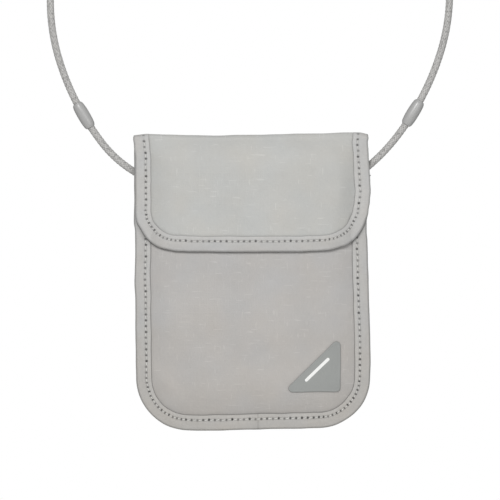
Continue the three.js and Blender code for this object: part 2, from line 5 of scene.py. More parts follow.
import bmesh
import bpy
import numpy as np
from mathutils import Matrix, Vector

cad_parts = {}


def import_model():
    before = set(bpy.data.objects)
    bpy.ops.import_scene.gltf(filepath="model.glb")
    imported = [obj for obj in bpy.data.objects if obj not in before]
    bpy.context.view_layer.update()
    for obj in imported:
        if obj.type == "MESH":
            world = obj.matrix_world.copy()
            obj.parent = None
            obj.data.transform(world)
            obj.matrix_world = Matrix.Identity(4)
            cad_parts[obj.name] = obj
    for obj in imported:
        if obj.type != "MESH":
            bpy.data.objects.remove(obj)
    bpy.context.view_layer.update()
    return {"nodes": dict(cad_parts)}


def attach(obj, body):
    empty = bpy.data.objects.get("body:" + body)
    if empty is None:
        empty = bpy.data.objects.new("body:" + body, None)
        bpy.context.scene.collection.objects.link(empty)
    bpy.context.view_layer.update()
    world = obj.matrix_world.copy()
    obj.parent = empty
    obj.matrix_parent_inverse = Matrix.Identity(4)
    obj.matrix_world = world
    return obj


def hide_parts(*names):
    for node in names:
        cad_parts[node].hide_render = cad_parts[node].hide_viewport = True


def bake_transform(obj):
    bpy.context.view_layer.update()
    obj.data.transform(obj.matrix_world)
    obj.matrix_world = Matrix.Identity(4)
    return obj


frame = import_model()

MM = 0.001

# Pouch outline and layers: x to the right, z up, depth towards the front (the frame's -Y)
HALF = 70.0
TOP, BOTTOM = 88.5, -87.1
BODY_CORNER, FLAP_CORNER = 31.0, 26.5
FLAP_BOTTOM = 17.8
BODY_TOP = 83.4
HINGE_Z, HINGE_D = 86.2, 2.9
FOLD_RADIUS = 2.3
TAPE_WIDTH, TAPE = 9.2, 0.45
STITCH_INSET, STITCH_PITCH, STITCH_SUNK = 6.3, 3.45, 0.1
BODY_JOIN, TAPE_LAP = 230.9, 0.16  # where the body's tape ends meet along its seam, and their step
NO_JOIN = -99.0  # a place that no tape reaches
FABRIC, LINING, ZIP_TAPE = 0.45, 0.25, 0.3
PANEL_INSET = 0.65
FOOT, SLOPE_RUN, PILLOW = 9.5, 22.0, 2.2
BODY_RISE, FLAP_RISE, DIVIDER_RISE, BACK_PROUD = 5.3, 6.1, 4.2, 0.6
# Depths of the layers at the rim, then of the closure's patches in the middle
RIM_BACK, RIM_LINING, RIM_DIVIDER, RIM_ZIP_TAPE, RIM_FRONT = 0.6, 1.15, 1.5, 1.85, 2.25
RIM_BODY_TAPE, BODY_TAPE_STACK = 0.05, 3.2
RIM_FLAP_TAPE, FLAP_TAPE_STACK = 3.85, 1.9
RIM_FLAP_LINING, RIM_FLAP = 4.4, 4.75
MIDDLE_LOOP, MIDDLE_HOOK = 8.1, 9.4

# Zip and closure
ZIP_Z, ZIP_WINDOW, SLIT, ZIP_STRIP = 57.0, 7.0, 0.4, 7.0
MOUTH_Z, MOUTH_LEG, MOUTH_END, MOUTH_TAPE_STACK = 72.0, 7.0, 60.4, 1.35
CHAIN_HALF = 45.0
PATCH_LOW, PATCH_HIGH, PATCH_HALF = 29.0, 43.0, 39.0
PATCH_Z = (PATCH_LOW + PATCH_HIGH) / 2
LOOP_BACK, HOOK_FRONT = MIDDLE_LOOP - BODY_RISE, MIDDLE_HOOK - FLAP_RISE
PULL_X, PULL_Z, PULL_ROOM = 52.0, 55.5, 1.4  # the flap stands up a little over the closed zip's pull

# Label
LABEL_RIGHT, LABEL_BOTTOM, LABEL_SIDE, LABEL_CORNER, LABEL = 52.35, -64.85, 33.75, 2.3, 0.6
LABEL_PLATE = LABEL - 0.07  # the face inside the raised rim
MARK_LENGTH, MARK_WIDTH, MARK_INSET = 20.0, 1.8, 4.6

# Neck cord
CORD_RADIUS, CORD_DEPTH, BRAID_SUNK, BRAID_HEIGHT = 2.15, -2.4, 0.24, 0.26
EXIT_X = 70.5
SIDE_LENGTH, CORD_END_LENGTH = 80.0, 13.0
TAB_HALF_LENGTH, TAB_HALF_WIDTH, TAB_FROM_EXIT = 5.0, 5.2, 9.0
BEAD_LENGTH, BEAD_RADIUS, BEAD_END_RADIUS, BEAD_BORE = 16.3, 3.75, 2.75, 2.4
# Where each side of the cord leaves the pouch and how steeply, its two curves, and its bead's place along it
SIDES = {
    "left": dict(sign=-1, exit_z=67.0, angle=math.radians(58.2), low_radius=70.0,
                 low_length=25.0, radius=155.0, bead=44.8),
    "right": dict(sign=1, exit_z=70.8, angle=math.radians(49.3), low_radius=114.0,
                  low_length=24.0, radius=160.0, bead=40.1),
}


# ---- Numbers and shapes ------------------------------------------------------------------

def ease(t):
    t = np.clip(t, 0.0, 1.0)
    return t * t * (3 - 2 * t)


def pillow(t):
    """Rises steeply from a seam and levels off: 0 at t 0, 1 at t 1."""
    return 1 - (1 - np.clip(t, 0.0, 1.0)) ** PILLOW


def hump(t):
    """A smooth bump: 1 at t 0, almost 0 from t 2 on."""
    return np.exp(-t ** 2)


def pairs(a, b):
    """A grid of (a, b) pairs."""
    return np.stack(np.broadcast_arrays(a, b), -1)


def turns(count):
    """This many angles round a circle."""
    return np.linspace(0, 2 * math.pi, count, endpoint=False)


def drawn(at, places, values):
    """A smooth line through (place, value) pairs."""
    at = np.asarray(at, float)
    i = np.clip(np.searchsorted(places, at) - 1, 0, len(places) - 2)
    places, values = np.asarray(places), np.asarray(values)
    t = ease((at - places[i]) / (places[i + 1] - places[i]))
    return values[i] + (values[i + 1] - values[i]) * t


def waves(seed, count, short, long):
    """A smooth random height field of about -1 to 1, made of plane waves."""
    rng = random.Random(seed)
    terms = []
    for _ in range(count):
        length = short + (long - short) * rng.random()
        angle = rng.uniform(0, math.pi)
        terms.append((math.cos(angle) * 2 * math.pi / length, math.sin(angle) * 2 * math.pi / length,
                      rng.uniform(0, 2 * math.pi)))

    def height(x, z):
        return sum(np.sin(a * x + b * z + c) for a, b, c in terms) * (1.5 / count)
    return height


# Height fields over the cloth; ALONG is for the tapes
BROAD = waves(11, 9, 38.0, 90.0)
SOFT = waves(23, 14, 16.0, 34.0)
FINE = waves(37, 18, 5.0, 11.0)
FLAP_SOFT = waves(41, 12, 18.0, 40.0)
ALONG = waves(53, 10, 9.0, 30.0)


def inset_of(x, z, bottom, corner):
    """Distance in from a U-shaped outline with round lower corners."""
    qx = np.abs(x) - (HALF - corner)
    qz = (bottom + corner) - z
    outside = np.hypot(np.maximum(qx, 0), np.maximum(qz, 0))
    return corner - outside - np.minimum(np.maximum(qx, qz), 0)


def body_fill(x, z):
    return pillow((inset_of(x, z, BOTTOM, BODY_CORNER) - FOOT) / SLOPE_RUN)


def crease(x, z, x0, z0, x1, z1, width):
    """A soft ridge of height 1 along a line, fading at its ends."""
    dx, dz = x1 - x0, z1 - z0
    length = math.hypot(dx, dz)
    t = ((x - x0) * dx + (z - z0) * dz) / length ** 2
    off = ((x - x0) * dz - (z - z0) * dx) / length
    return hump(off / width) * ease(t / 0.3) * ease((1 - t) / 0.3)


# Height of a crease, its two ends (x, z, x, z) and its width
BODY_CREASES = ((0.35, -62, -50, -30, -78, 3.0), (-0.3, -64, -40, -22, -80, 5.0),
                (0.22, -60, 8, -44, -30, 3.5), (0.25, 58, 2, 40, -26, 4.0),
                (0.22, -20, -82, 26, -70, 3.5), (0.2, 61, -34, 44, -80, 3.0))
FLAP_CREASES = ((0.2, -58, 40, -30, 76, 4.0), (0.18, 58, 46, 34, 78, 4.0),
                (0.15, -50, 24, 10, 27, 3.0), (0.15, 10, 30, 54, 24, 3.0))


def creases(x, z, lines):
    return sum(height * crease(x, z, *line) for height, *line in lines)


def body_wrinkle(x, z):
    """Wrinkles of the body's cloth, which lies calmer along the zip and the closure."""
    calm = 1 - 0.85 * hump((z - ZIP_Z) / 9) - 0.6 * hump((z - PATCH_Z) / 8)
    return (0.28 * BROAD(x, z) + 0.13 * SOFT(x, z) + 0.03 * FINE(x, z) + creases(x, z, BODY_CREASES)) * calm


def body_rise(x, z):
    return (BODY_RISE + body_wrinkle(x, z)) * body_fill(x, z)


def flap_fill(x, z):
    sides = pillow((HALF - np.abs(x) - FOOT) / SLOPE_RUN)
    return sides * pillow((HINGE_Z - 0.6 - z) / 20.0)


def flap_rise(x, z):
    fill = flap_fill(x, z)
    wrinkle = 0.24 * BROAD(x, z) + 0.1 * FLAP_SOFT(x, z) + 0.02 * FINE(x, z) + creases(x, z, FLAP_CREASES)
    calm = 1 - 0.4 * hump((z - PATCH_Z) / 9)
    droop = 1.3 * ease((27.0 - z) / 9.0)
    pull_room = PULL_ROOM * hump((x - PULL_X) / 5.5) * hump((z - PULL_Z) / 12.0) * np.clip(fill * 4, 0, 1)
    return (FLAP_RISE + wrinkle * calm - droop) * fill + pull_room


# Each of these gives a function that says how deep a layer lies at (x, z)

def level(depth):
    """A flat layer."""
    return lambda x, z: depth + 0 * x


def on_body(depth):
    """A layer that follows the body's rise."""
    return lambda x, z: depth + body_rise(x, z)


def on_flap(depth):
    """A layer that follows the flap's rise."""
    return lambda x, z: depth + flap_rise(x, z)


# How the real outline strays from the drawn one: places along an edge, then how far it moves there
LEFT_STRAY = ((-88, -60, -46, -22, -10, 2, 20, 31, 37, 49, 61, 82, 86, 90),
              (1.2, 1.3, 1.1, 0.8, 0.8, 0.35, 0.75, 0.65, -0.1, 0.2, 0.1, 0.1, -0.4, -0.6))
RIGHT_STRAY = ((-88, -60, -46, -34, -22, -10, 2, 14, 25, 31, 37, 43, 49, 55, 61, 67, 76, 80, 82, 84,
                86.4, 90),
               (-0.3, 0.3, 0.65, 0.45, 0.1, -0.25, -0.6, -0.95, -1.2, -1.7, -1.65, -0.7, 0.15, 0.65, 0.3,
                -0.05, -0.55, -0.75, -1.0, -1.1, -0.7, -0.4))
TOP_STRAY = ((-70, -61, -49, -38, -20, -8, 4, 16, 28, 40, 57, 64, 70),
             (-0.5, 0.35, 0.0, -0.3, -0.6, -0.15, -0.1, 0.2, 0.6, 0.65, 1.3, 1.2, 0.15))
BOTTOM_STRAY = ((-70, -48, -32, -20, 0, 12, 28, 40, 52, 70),
                (0.4, 0.3, -0.3, -0.2, 0.35, 0.7, 0.9, 1.3, 1.1, 0.4))
FLAP_EDGE_STRAY = ((-70, -60, -48, -42, -36, -12, 5, 29, 35, 52, 58, 70),
                   (0.3, 0.5, 1.6, 1.5, 1.15, 1.0, 1.05, 1.15, 1.5, 2.2, 1.2, 0.2))
FLAP_TUCK = 0.7  # the flap's left edge lies this far inside the body's
STRAY_FROM, STRAY_RUN = 38.0, 26.0  # the sides' strays fade in between these distances from the middle


def stray(x, z, flap=False):
    """(x, z) moved to where the cloth really lies."""
    left = drawn(z, *LEFT_STRAY)
    low = ease((-40.0 - z) / 40.0) * drawn(x, *BOTTOM_STRAY)
    if flap:
        left = left + FLAP_TUCK * ease((82.0 - z) / 8.0) * ease((z - 24.0) / 10.0)
        low = ease((50.0 - z) / 30.0) * drawn(x, *FLAP_EDGE_STRAY)
    left = left * ease((-x - STRAY_FROM) / STRAY_RUN)
    right = drawn(z, *RIGHT_STRAY) * ease((x - STRAY_FROM) / STRAY_RUN)
    up = drawn(x, *TOP_STRAY) * ease((z - HINGE_Z) / (TOP - HINGE_Z))
    return x + left + right, z + up + low


def world(x, z, depth, flap=False):
    """Points in the part's frame, in metres."""
    x, z, depth = np.broadcast_arrays(np.asarray(x, float), np.asarray(z, float), np.asarray(depth, float))
    x, z = stray(x, z, flap)
    return np.stack([x, -depth, z], -1) * MM


def half_width(z, bottom, corner, inset):
    """Half the width of a U-shaped outline at a height, moved in by `inset`."""
    radius = corner - inset
    drop = np.clip(bottom + corner - z, 0, radius)
    return HALF - corner + np.sqrt(np.maximum(radius ** 2 - drop ** 2, 0))


def heights(bottom, corner, inset, top, step):
    """Row heights from the bottom up, closer together round the corners."""
    radius = corner - inset
    steps = max(6, int(radius * math.pi / 2 / step))
    low = [bottom + corner - radius * math.cos(math.pi / 2 * i / steps) for i in range(steps)]
    rows = max(2, int((top - bottom - corner) / step))
    return np.array(low + list(np.linspace(bottom + corner, top, rows + 1)))


# ---- Meshes ------------------------------------------------------------------------------

class Build:
    """Collects grids of quads into one mesh."""

    def __init__(self):
        self.points, self.faces, self.uvs, self.count = [], [], [], 0

    def grid(self, points, uv, wrap=False):
        rows, columns = points.shape[:2]
        index = np.arange(rows * columns).reshape(rows, columns) + self.count
        if wrap:
            index = np.concatenate([index, index[:, :1]], 1)
            if uv.shape[1] == columns:
                uv = np.concatenate([uv, uv[:, -1:]], 1)
        self.points.append(points.reshape(-1, 3))
        self.count += rows * columns
        self.quads(index, uv)
        return index

    def quads(self, index, uv):
        def corners(a):
            return np.stack([a[:-1, :-1], a[:-1, 1:], a[1:, 1:], a[1:, :-1]], 2)
        self.faces.append(corners(index).reshape(-1, 4))
        self.uvs.append(corners(uv).reshape(-1, 4, 2))

    def shell(self, outer, inner, uv):
        """A closed sheet between two grids."""
        columns = outer.shape[1]
        ring = np.concatenate([outer, inner[:, ::-1]], 1)
        index = self.grid(ring, np.concatenate([uv, uv[:, ::-1], uv[:, :1]], 1), wrap=True)
        for row in (0, -1):
            pair = np.stack([index[row, :columns], index[row, columns:2 * columns][::-1]])
            self.quads(pair, np.stack([uv[row], uv[row]]))

    def tube(self, rings, uv):
        """A closed tube: rings is (stations, sides, 3)."""
        index = self.grid(rings, uv, wrap=True)
        for row in (0, -1):
            self.fan(rings[row], index[row, :-1], uv[row])

    def fan(self, ring, index, uv):
        """Quads round a middle point; a ring has an even number of sides."""
        middle = self.count
        self.points.append(ring.mean(0)[None])
        self.count += 1
        size = len(index)
        for i in range(0, size - 1, 2):
            j, k = i + 1, (i + 2) % size
            self.faces.append(np.array([[index[i], index[j], index[k], middle]]))
            self.uvs.append(np.array([[uv[i], uv[j], uv[min(i + 2, size - 1)], uv[i]]]))

    def made(self, name, material, body=None, slot=None, nodes=(), sharp=40.0):
        """The finished piece, which rides a body, takes its material and stands in for CAD nodes; slot is not
        used.
        """
        points = np.concatenate(self.points)
        faces = np.concatenate(self.faces)
        uvs = np.concatenate(self.uvs)
        mesh = bpy.data.meshes.new(name)
        mesh.from_pydata(points.tolist(), [], faces.tolist())
        layer = mesh.uv_layers.new(name="UVMap")
        layer.data.foreach_set("uv", uvs.astype(np.float32).ravel())
        shape = bmesh.new()
        shape.from_mesh(mesh)
        bmesh.ops.recalc_face_normals(shape, faces=shape.faces)
        shape.to_mesh(mesh)
        shape.free()
        mesh.polygons.foreach_set("use_smooth", [True] * len(mesh.polygons))
        mesh.set_sharp_from_angle(angle=math.radians(sharp))
        mesh.materials.append(material)
        piece = bpy.data.objects.new(name, mesh)
        bpy.context.scene.collection.objects.link(piece)
        if body:
            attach(piece, body)
        if nodes:
            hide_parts(*nodes)
        return piece


# ---- Materials ---------------------------------------------------------------------------

def linear(*srgb):
    return [(c / 255 / 12.92) if c <= 10 else ((c / 255 + 0.055) / 1.055) ** 2.4 for c in srgb]


class Look:
    """A procedural material. Texture coordinates are the mesh's UVs, in millimetres of cloth."""

    def __init__(self, name, rgb, roughness, sheen=0.0, metallic=0.0, specular=0.35):
        self.material = bpy.data.materials.new(name)
        self.material.use_nodes = True
        self.tree = self.material.node_tree
        self.tree.nodes.clear()
        output = self.node("OutputMaterial")
        self.rgb = linear(*rgb)
        self.surface = self.node("BsdfPrincipled", {"Roughness": roughness, "Metallic": metallic,
                                                    "Sheen Weight": sheen, "Sheen Roughness": 0.5,
                                                    "Specular IOR Level": specular})
        self.tree.links.new(self.surface.outputs[0], output.inputs[0])
        self.uv = self.node("UVMap").outputs[0]
        self.uv.node.uv_map = "UVMap"
        parts = self.node("SeparateXYZ", {0: self.uv})
        self.u, self.v = parts.outputs[0], parts.outputs[1]
        self.place = self.node("TexCoord").outputs["Object"]
        up = self.node("SeparateXYZ", {0: self.place}).outputs[2]
        # low also paints shade: the cloth and tapes are darkened by it towards the bottom, standing in for
        # light that falls off downwards
        self.low = self.step(up, -88.0 * MM, 30.0 * MM, 1.0, 0.0)  # 1 at the pouch's bottom, 0 near its zip

    def node(self, kind, inputs=None, **settings):
        made = self.tree.nodes.new("ShaderNode" + kind)
        for key, value in settings.items():
            setattr(made, key, value)
        for key, value in (inputs or {}).items():
            self.put(made.inputs[key], value)
        return made

    def put(self, socket, value):
        if isinstance(value, bpy.types.NodeSocket):
            self.tree.links.new(value, socket)
        else:
            socket.default_value = value

    def math(self, operation, *values):
        return self.node("Math", dict(enumerate(values)), operation=operation).outputs[0]

    def noise(self, across, along, detail=2.0, offset=0.0):
        """Noise about 0, with features this many millimetres across and along."""
        scaled = self.node("VectorMath", {0: self.uv, 1: (1 / across, 1 / along, 0)}, operation="MULTIPLY")
        moved = self.node("VectorMath", {0: scaled.outputs[0], 1: (offset, offset, offset)}, operation="ADD")
        made = self.node("TexNoise", {"Vector": moved.outputs[0], "Scale": 1.0, "Detail": detail})
        return self.math("SUBTRACT", made.outputs[0], 0.5)

    def step(self, value, low, high, to_low=0.0, to_high=1.0):
        return self.node("MapRange", {0: value, 1: low, 2: high, 3: to_low, 4: to_high},
                         interpolation_type="SMOOTHSTEP").outputs[0]

    def wave(self, value, pitch):
        return self.math("SINE", self.math("MULTIPLY", value, 2 * math.pi / pitch))

    def total(self, *terms):
        """The sum of (factor, value) pairs."""
        result = 0.0
        for factor, value in terms:
            result = self.math("MULTIPLY_ADD", value, factor, result)
        return result

    def tint(self, shade, warmth=None, crevice_shade=0.0, reach=2.2):
        """Base colour times 1 + shade, a little warmer by `warmth`; crevices within `reach` get painted shade,
        darkened by an ambient occlusion node.
        """
        factor = self.math("ADD", shade, 1.0)
        if crevice_shade:
            # painted shade: an ambient occlusion node darkens the colour in crevices
            opened = self.node("AmbientOcclusion", {"Distance": reach * MM}, samples=6).outputs["AO"]
            factor = self.math("MULTIPLY", factor, self.math("MULTIPLY_ADD", opened, crevice_shade, 1 - crevice_shade))
        colour = self.node("VectorMath", {0: self.rgb, "Scale": factor}, operation="SCALE").outputs[0]
        if warmth is not None:
            warmth = self.math("MULTIPLY_ADD", self.low, 0.45, warmth)
            warm = self.node("CombineXYZ", {0: self.math("MULTIPLY_ADD", warmth, 0.05, 1.0), 1: 1.0,
                                            2: self.math("MULTIPLY_ADD", warmth, -0.06, 1.0)})
            colour = self.node("VectorMath", {0: colour, 1: warm.outputs[0]}, operation="MULTIPLY").outputs[0]
        self.put(self.surface.inputs["Base Color"], colour)

    def bump(self, height, depth):
        """Height of about -1 to 1 stands `depth` millimetres out."""
        made = self.node("Bump", {"Height": height, "Distance": depth * MM, "Strength": 1.0})
        self.put(self.surface.inputs["Normal"], made.outputs[0])

    def rough(self, value):
        self.put(self.surface.inputs["Roughness"], value)


def cloth_look(name, rgb, blotch=0.10, roughness=0.78, bottom_shade=0.06):
    """Woven nylon with a fine ripstop grid, short slubs and broad soft blotches. Painted shade darkens its
    crevices and its lower parts.
    """
    look = Look(name, rgb, roughness, sheen=0.12)
    weave = look.math("MULTIPLY", look.wave(look.u, 0.62), look.wave(look.v, 0.62))
    grid = look.math("MAXIMUM", look.step(look.wave(look.u, 4.6), 0.93, 1.0),
                     look.step(look.wave(look.v, 4.6), 0.93, 1.0))
    slub = look.total((1.0, look.noise(2.6, 0.7, 1.0)), (1.0, look.noise(0.7, 2.6, 1.0, 7.3)))
    broad = look.noise(26.0, 22.0, 2.0, 3.1)
    pulls = look.total((1.0, look.step(look.noise(7.0, 0.9, 0.0, 1.7), 0.245, 0.3)),
                       (1.0, look.step(look.noise(0.9, 7.0, 0.0, 5.9), 0.245, 0.3)))
    # painted shade: darker in crevices and towards the pouch's bottom
    look.tint(look.total((blotch, broad), (0.06, look.noise(7.0, 6.0, 2.0)), (0.06, slub), (0.1, pulls),
                         (0.012, grid), (0.012, weave), (-bottom_shade, look.low)), look.noise(18.0, 20.0, 1.0, 9.7),
              crevice_shade=0.55)
    lumps = look.noise(3.5, 3.5, 2.0, 5.0)
    look.bump(look.total((0.5, weave), (0.7, grid), (1.6, slub), (3.0, lumps)), 0.035)
    look.rough(look.math("MULTIPLY_ADD", slub, 0.25, roughness))
    return look.material


def holes_at(look, pitch, inset, size):
    """Painted shade in the needle holes along a seam, each a little different: about 1 in a hole."""
    cell = look.math("DIVIDE", look.u, pitch)
    order = look.math("FLOOR", cell)
    chance = look.node("TexWhiteNoise", {"W": order}, noise_dimensions="1D")
    along = look.math("MULTIPLY", look.math("SUBTRACT", look.math("FRACT", cell), 0.5), pitch)
    shift = look.math("MULTIPLY_ADD", chance.outputs[0], 0.5, -0.25)
    off = look.math("SUBTRACT", look.math("SUBTRACT", look.v, inset), shift)
    distance = look.math("SQRT", look.math("ADD", look.math("MULTIPLY", along, along),
                                           look.math("MULTIPLY", look.math("MULTIPLY", off, off), 0.8)))
    hole = look.step(distance, size * 0.35, size * 1.1, 1.0, 0.0)
    return look.math("MULTIPLY", hole, look.math("MULTIPLY_ADD", chance.outputs[0], 0.6, 0.5))


def tape_look(name, rgb, join=NO_JOIN, shade=0.25):
    """Folded grosgrain tape: ribs across, needle holes, a light strip by the stitches, rubbed at its join.
    Painted shade darkens its needle holes, rolled outer edge, stitch groove, inner lip, the step at its join,
    its crevices and its lower parts.
    """
    look = Look(name, rgb, 0.72, sheen=0.15)
    rib = look.wave(look.u, 0.55)
    strip = look.math("MULTIPLY", look.step(look.v, STITCH_INSET + 0.3, STITCH_INSET + 0.9),
                      look.step(look.v, TAPE_WIDTH - 0.5, TAPE_WIDTH + 0.05, 1.0, 0.0))
    # painted shade: the rolled outer edge, which turns away from the light, is darker
    edge = look.step(look.v, 0.1, 1.4, 1.0, 0.0)
    # painted shadow: a dark line along the inner lip, where the tape's edge stands off the cloth
    lip = look.step(look.v, TAPE_WIDTH - 0.15, TAPE_WIDTH + 0.1)
    # painted shade in the needle holes
    hole = holes_at(look, STITCH_PITCH, STITCH_INSET, 0.95)
    patchy = look.noise(9.0, 3.0, 2.0)
    slub = look.noise(0.8, 2.4, 1.0, 4.0)
    away = look.math("ABSOLUTE", look.math("SUBTRACT", look.u, join))
    # painted shade along the step where the tape's ends overlap
    ends = look.step(away, 0.2, 0.9, 1.0, 0.0)
    worn = look.step(look.noise(3.0, 3.0), -0.3, 0.3)
    rubbed = look.math("MULTIPLY", look.step(away, 1.0, 5.0, 1.0, 0.0), worn)
    # painted shade in the groove along the stitch line
    row = look.step(look.math("ABSOLUTE", look.math("SUBTRACT", look.v, STITCH_INSET)), 0.4, 1.2, 1.0, 0.0)
    # look.low here is painted shade, darker towards the pouch's bottom
    look.tint(look.total((0.05, strip), (-0.24, edge), (-shade, lip), (-0.72, hole), (-0.04, row),
                         (0.13, patchy), (0.12, slub), (0.01, rib), (-0.11, look.low), (-0.12, ends),
                         (-0.06, rubbed)),
              look.noise(20.0, 8.0, 1.0, 2.0), crevice_shade=0.75, reach=3.0)
    look.bump(look.total((0.4, rib), (-3.0, hole), (2.0, slub), (2.5, patchy)), 0.05)
    return look.material


def lining_look(name, rgb):
    look = Look(name, rgb, 0.5, specular=0.5)
    weave = look.math("MULTIPLY", look.wave(look.u, 0.4), look.wave(look.v, 0.4))
    look.tint(look.total((0.10, look.noise(12.0, 10.0)), (0.02, weave), (0.05, look.noise(1.5, 1.5, 1.0))))
    look.bump(look.total((0.4, weave), (3.0, look.noise(5.0, 5.0, 3.0))), 0.03)
    return look.material


def thread_look(name, rgb):
    """Twisted thread with painted shade in its crevices: u runs along it and v round it."""
    look = Look(name, rgb, 0.6, sheen=0.2)
    twist = look.wave(look.math("MULTIPLY_ADD", look.v, 0.5, look.u), 0.5)
    look.tint(look.total((0.05, twist), (0.12, look.noise(2.5, 2.5))), crevice_shade=0.6, reach=0.8)
    look.bump(twist, 0.03)
    return look.material


def label_look(name, rgb):
    """Matt rubbery patch with a finely grained face and painted shade in its crevices."""
    look = Look(name, rgb, 0.62, specular=0.3)
    grain = look.noise(0.35, 0.35, 2.0)
    look.tint(look.total((0.05, look.noise(6.0, 6.0)), (0.05, grain)), crevice_shade=0.4)
    look.bump(grain, 0.03)
    look.rough(look.math("MULTIPLY_ADD", grain, 0.2, 0.62))
    return look.material


def braid_look(name, rgb):
    """Braided cord with painted shade in its crevices and in the gaps between its strands: u runs round it and
    v along it.
    """
    look = Look(name, rgb, 0.75, sheen=0.2)
    strand = look.wave(look.math("ADD", look.u, look.v), 0.42)
    # low heights lie in the gaps between strands and get painted shade there
    height = look.node("Attribute", attribute_name="height").outputs["Fac"]
    flecks = look.step(look.noise(1.7, 1.5, 1.0, 6.0), 0.02, 0.14)
    shade = look.total((1.1, height), (0.5, look.noise(1.3, 1.5, 1.0)), (-0.36, flecks), (0.05, strand),
                       (0.2, look.noise(9.0, 9.0)))
    look.tint(look.math("SUBTRACT", shade, 0.64), crevice_shade=0.4, reach=3.0)
    look.bump(look.total((0.6, strand), (1.0, look.noise(0.5, 0.5))), 0.04)
    return look.material


def plastic_look(name, rgb, roughness):
    """Satin moulded plastic with fine handling marks and painted shade in its crevices."""
    look = Look(name, rgb, roughness, specular=0.5)
    marks = look.noise(0.6, 5.0, 2.0)
    look.tint(look.total((0.05, marks), (0.06, look.noise(4.0, 4.0))), crevice_shade=0.6)
    look.bump(look.total((0.2, look.noise(0.5, 0.5)), (0.5, marks)), 0.008)
    look.rough(look.math("MULTIPLY_ADD", marks, 0.2, roughness))
    return look.material


def metal_look(name, rgb):
    """Grey painted metal, rubbed brighter in patches. It goes by place: the CAD's solids have no UVs."""
    look = Look(name, rgb, 0.34, metallic=0.85, specular=0.5)
    patches = look.node("TexNoise", {"Vector": look.place, "Scale": 900.0}).outputs[0]
    ramp = look.node("ValToRGB", {0: patches})
    for element, change in zip(ramp.color_ramp.elements, (-14, 10)):
        element.color = (*linear(*[c + change for c in rgb]), 1)
    look.put(look.surface.inputs["Base Color"], ramp.outputs[0])
    look.bump(patches, 0.02)
    return look.material


# Lit and shaded copies: the flap's cloth and tape are lighter than the body's as painted light, for the higher
# flap gets more light from above
FLAP_CLOTH = cloth_look("flap_cloth", (188, 188, 185), bottom_shade=0.0)
BODY_CLOTH = cloth_look("body_cloth", (181, 179, 177), blotch=0.13)
# 0.5: a darker painted shadow line along the body tape's inner lip
TAPE_CLOTH = tape_look("tape_cloth", (182, 181, 179), BODY_JOIN, 0.5)
FLAP_TAPE = tape_look("flap_tape", (187, 186, 184))
LINING_CLOTH = lining_look("lining_cloth", (150, 152, 155))
THREAD = thread_look("thread", (220, 219, 215))
LABEL_FACE = label_look("label_face", (151, 153, 151))
LABEL_INK = label_look("label_ink", (240, 240, 238))
CORD = braid_look("cord_braid", (172, 171, 169))
BEAD = plastic_look("bead_plastic", (173, 173, 172), 0.32)
ZIP_WEAVE = lining_look("zip_weave", (158, 158, 156))
COIL = plastic_look("coil_nylon", (160, 161, 161), 0.4)
HOOKS = plastic_look("hook_nylon", (172, 172, 170), 0.45)
FUZZ = cloth_look("loop_fuzz", (166, 166, 164))
METAL = metal_look("zip_metal", (150, 151, 154))


# ---- Cloth panels ------------------------------------------------------------------------

def panel_grid(bottom, corner, inset, low, high, step=1.3, columns=96):
    """(x, z) of a grid that fills a U-shaped outline between two heights."""
    rows = heights(bottom, corner, inset, high, step)
    rows = rows[rows >= low - 1e-6]
    if rows[0] > low + 1e-6:
        rows = np.concatenate([[low], rows])
    half = half_width(rows, bottom, corner, inset)
    across = np.linspace(-1, 1, columns + 1)
    return half[:, None] * across[None], np.repeat(rows[:, None], columns + 1, 1)


def sheet(name, grid, depth, thickness, material, body, slot, node):
    """A closed sheet whose back face lies at depth(x, z)."""
    x, z = grid
    low = depth(x, z)
    front, back = (world(x, z, surface, body == "flap") for surface in (low + thickness, low))
    build = Build()
    build.shell(front, back, np.stack([x, z], -1))
    build.made(name, material, body, slot, [node])


def back_depth(x, z):
    crown = (BACK_PROUD + 0.5 * body_wrinkle(x, z)) * body_fill(x, z)
    return RIM_BACK - crown * ease((HINGE_Z - 1 - z) / 8)


def divider_depth(x, z):
    return RIM_DIVIDER + DIVIDER_RISE / BODY_RISE * body_rise(x, z)


def body_panels():
    bottom = BOTTOM + PANEL_INSET
    for name, low, high, depth, node in (
            ("back_cloth", bottom, HINGE_Z, back_depth, "back_panel"),
            ("front_cloth", bottom, ZIP_Z - ZIP_WINDOW / 2, on_body(RIM_FRONT), "front_panel"),
            ("upper_front_cloth", ZIP_Z + ZIP_WINDOW / 2, MOUTH_Z, on_body(RIM_FRONT), "front_upper_panel")):
        grid = panel_grid(BOTTOM, BODY_CORNER, PANEL_INSET, low, high)
        sheet(name, grid, depth, FABRIC, BODY_CLOTH, "pouch", "pouch_fabric", node)
    for name, inset, high, depth, node in (("back_lining_cloth", 1.5, 76.0, level(RIM_LINING), "back_lining"),
                                           ("divider_cloth", 1.2, 64.0, divider_depth, "pocket_divider")):
        grid = panel_grid(BOTTOM, BODY_CORNER, inset, BOTTOM + inset, high, 2.5, 56)
        sheet(name, grid, depth, LINING, LINING_CLOTH, "pouch", "lining", node)
    for node, low in (("zip_tape_lower", ZIP_Z - SLIT - ZIP_STRIP), ("zip_tape_upper", ZIP_Z + SLIT)):
        grid = panel_grid(BOTTOM, BODY_CORNER, 1.2, low, low + ZIP_STRIP)
        sheet(node + "_weave", grid, on_body(RIM_ZIP_TAPE), ZIP_TAPE, ZIP_WEAVE, "pouch", "zip_tape", node)


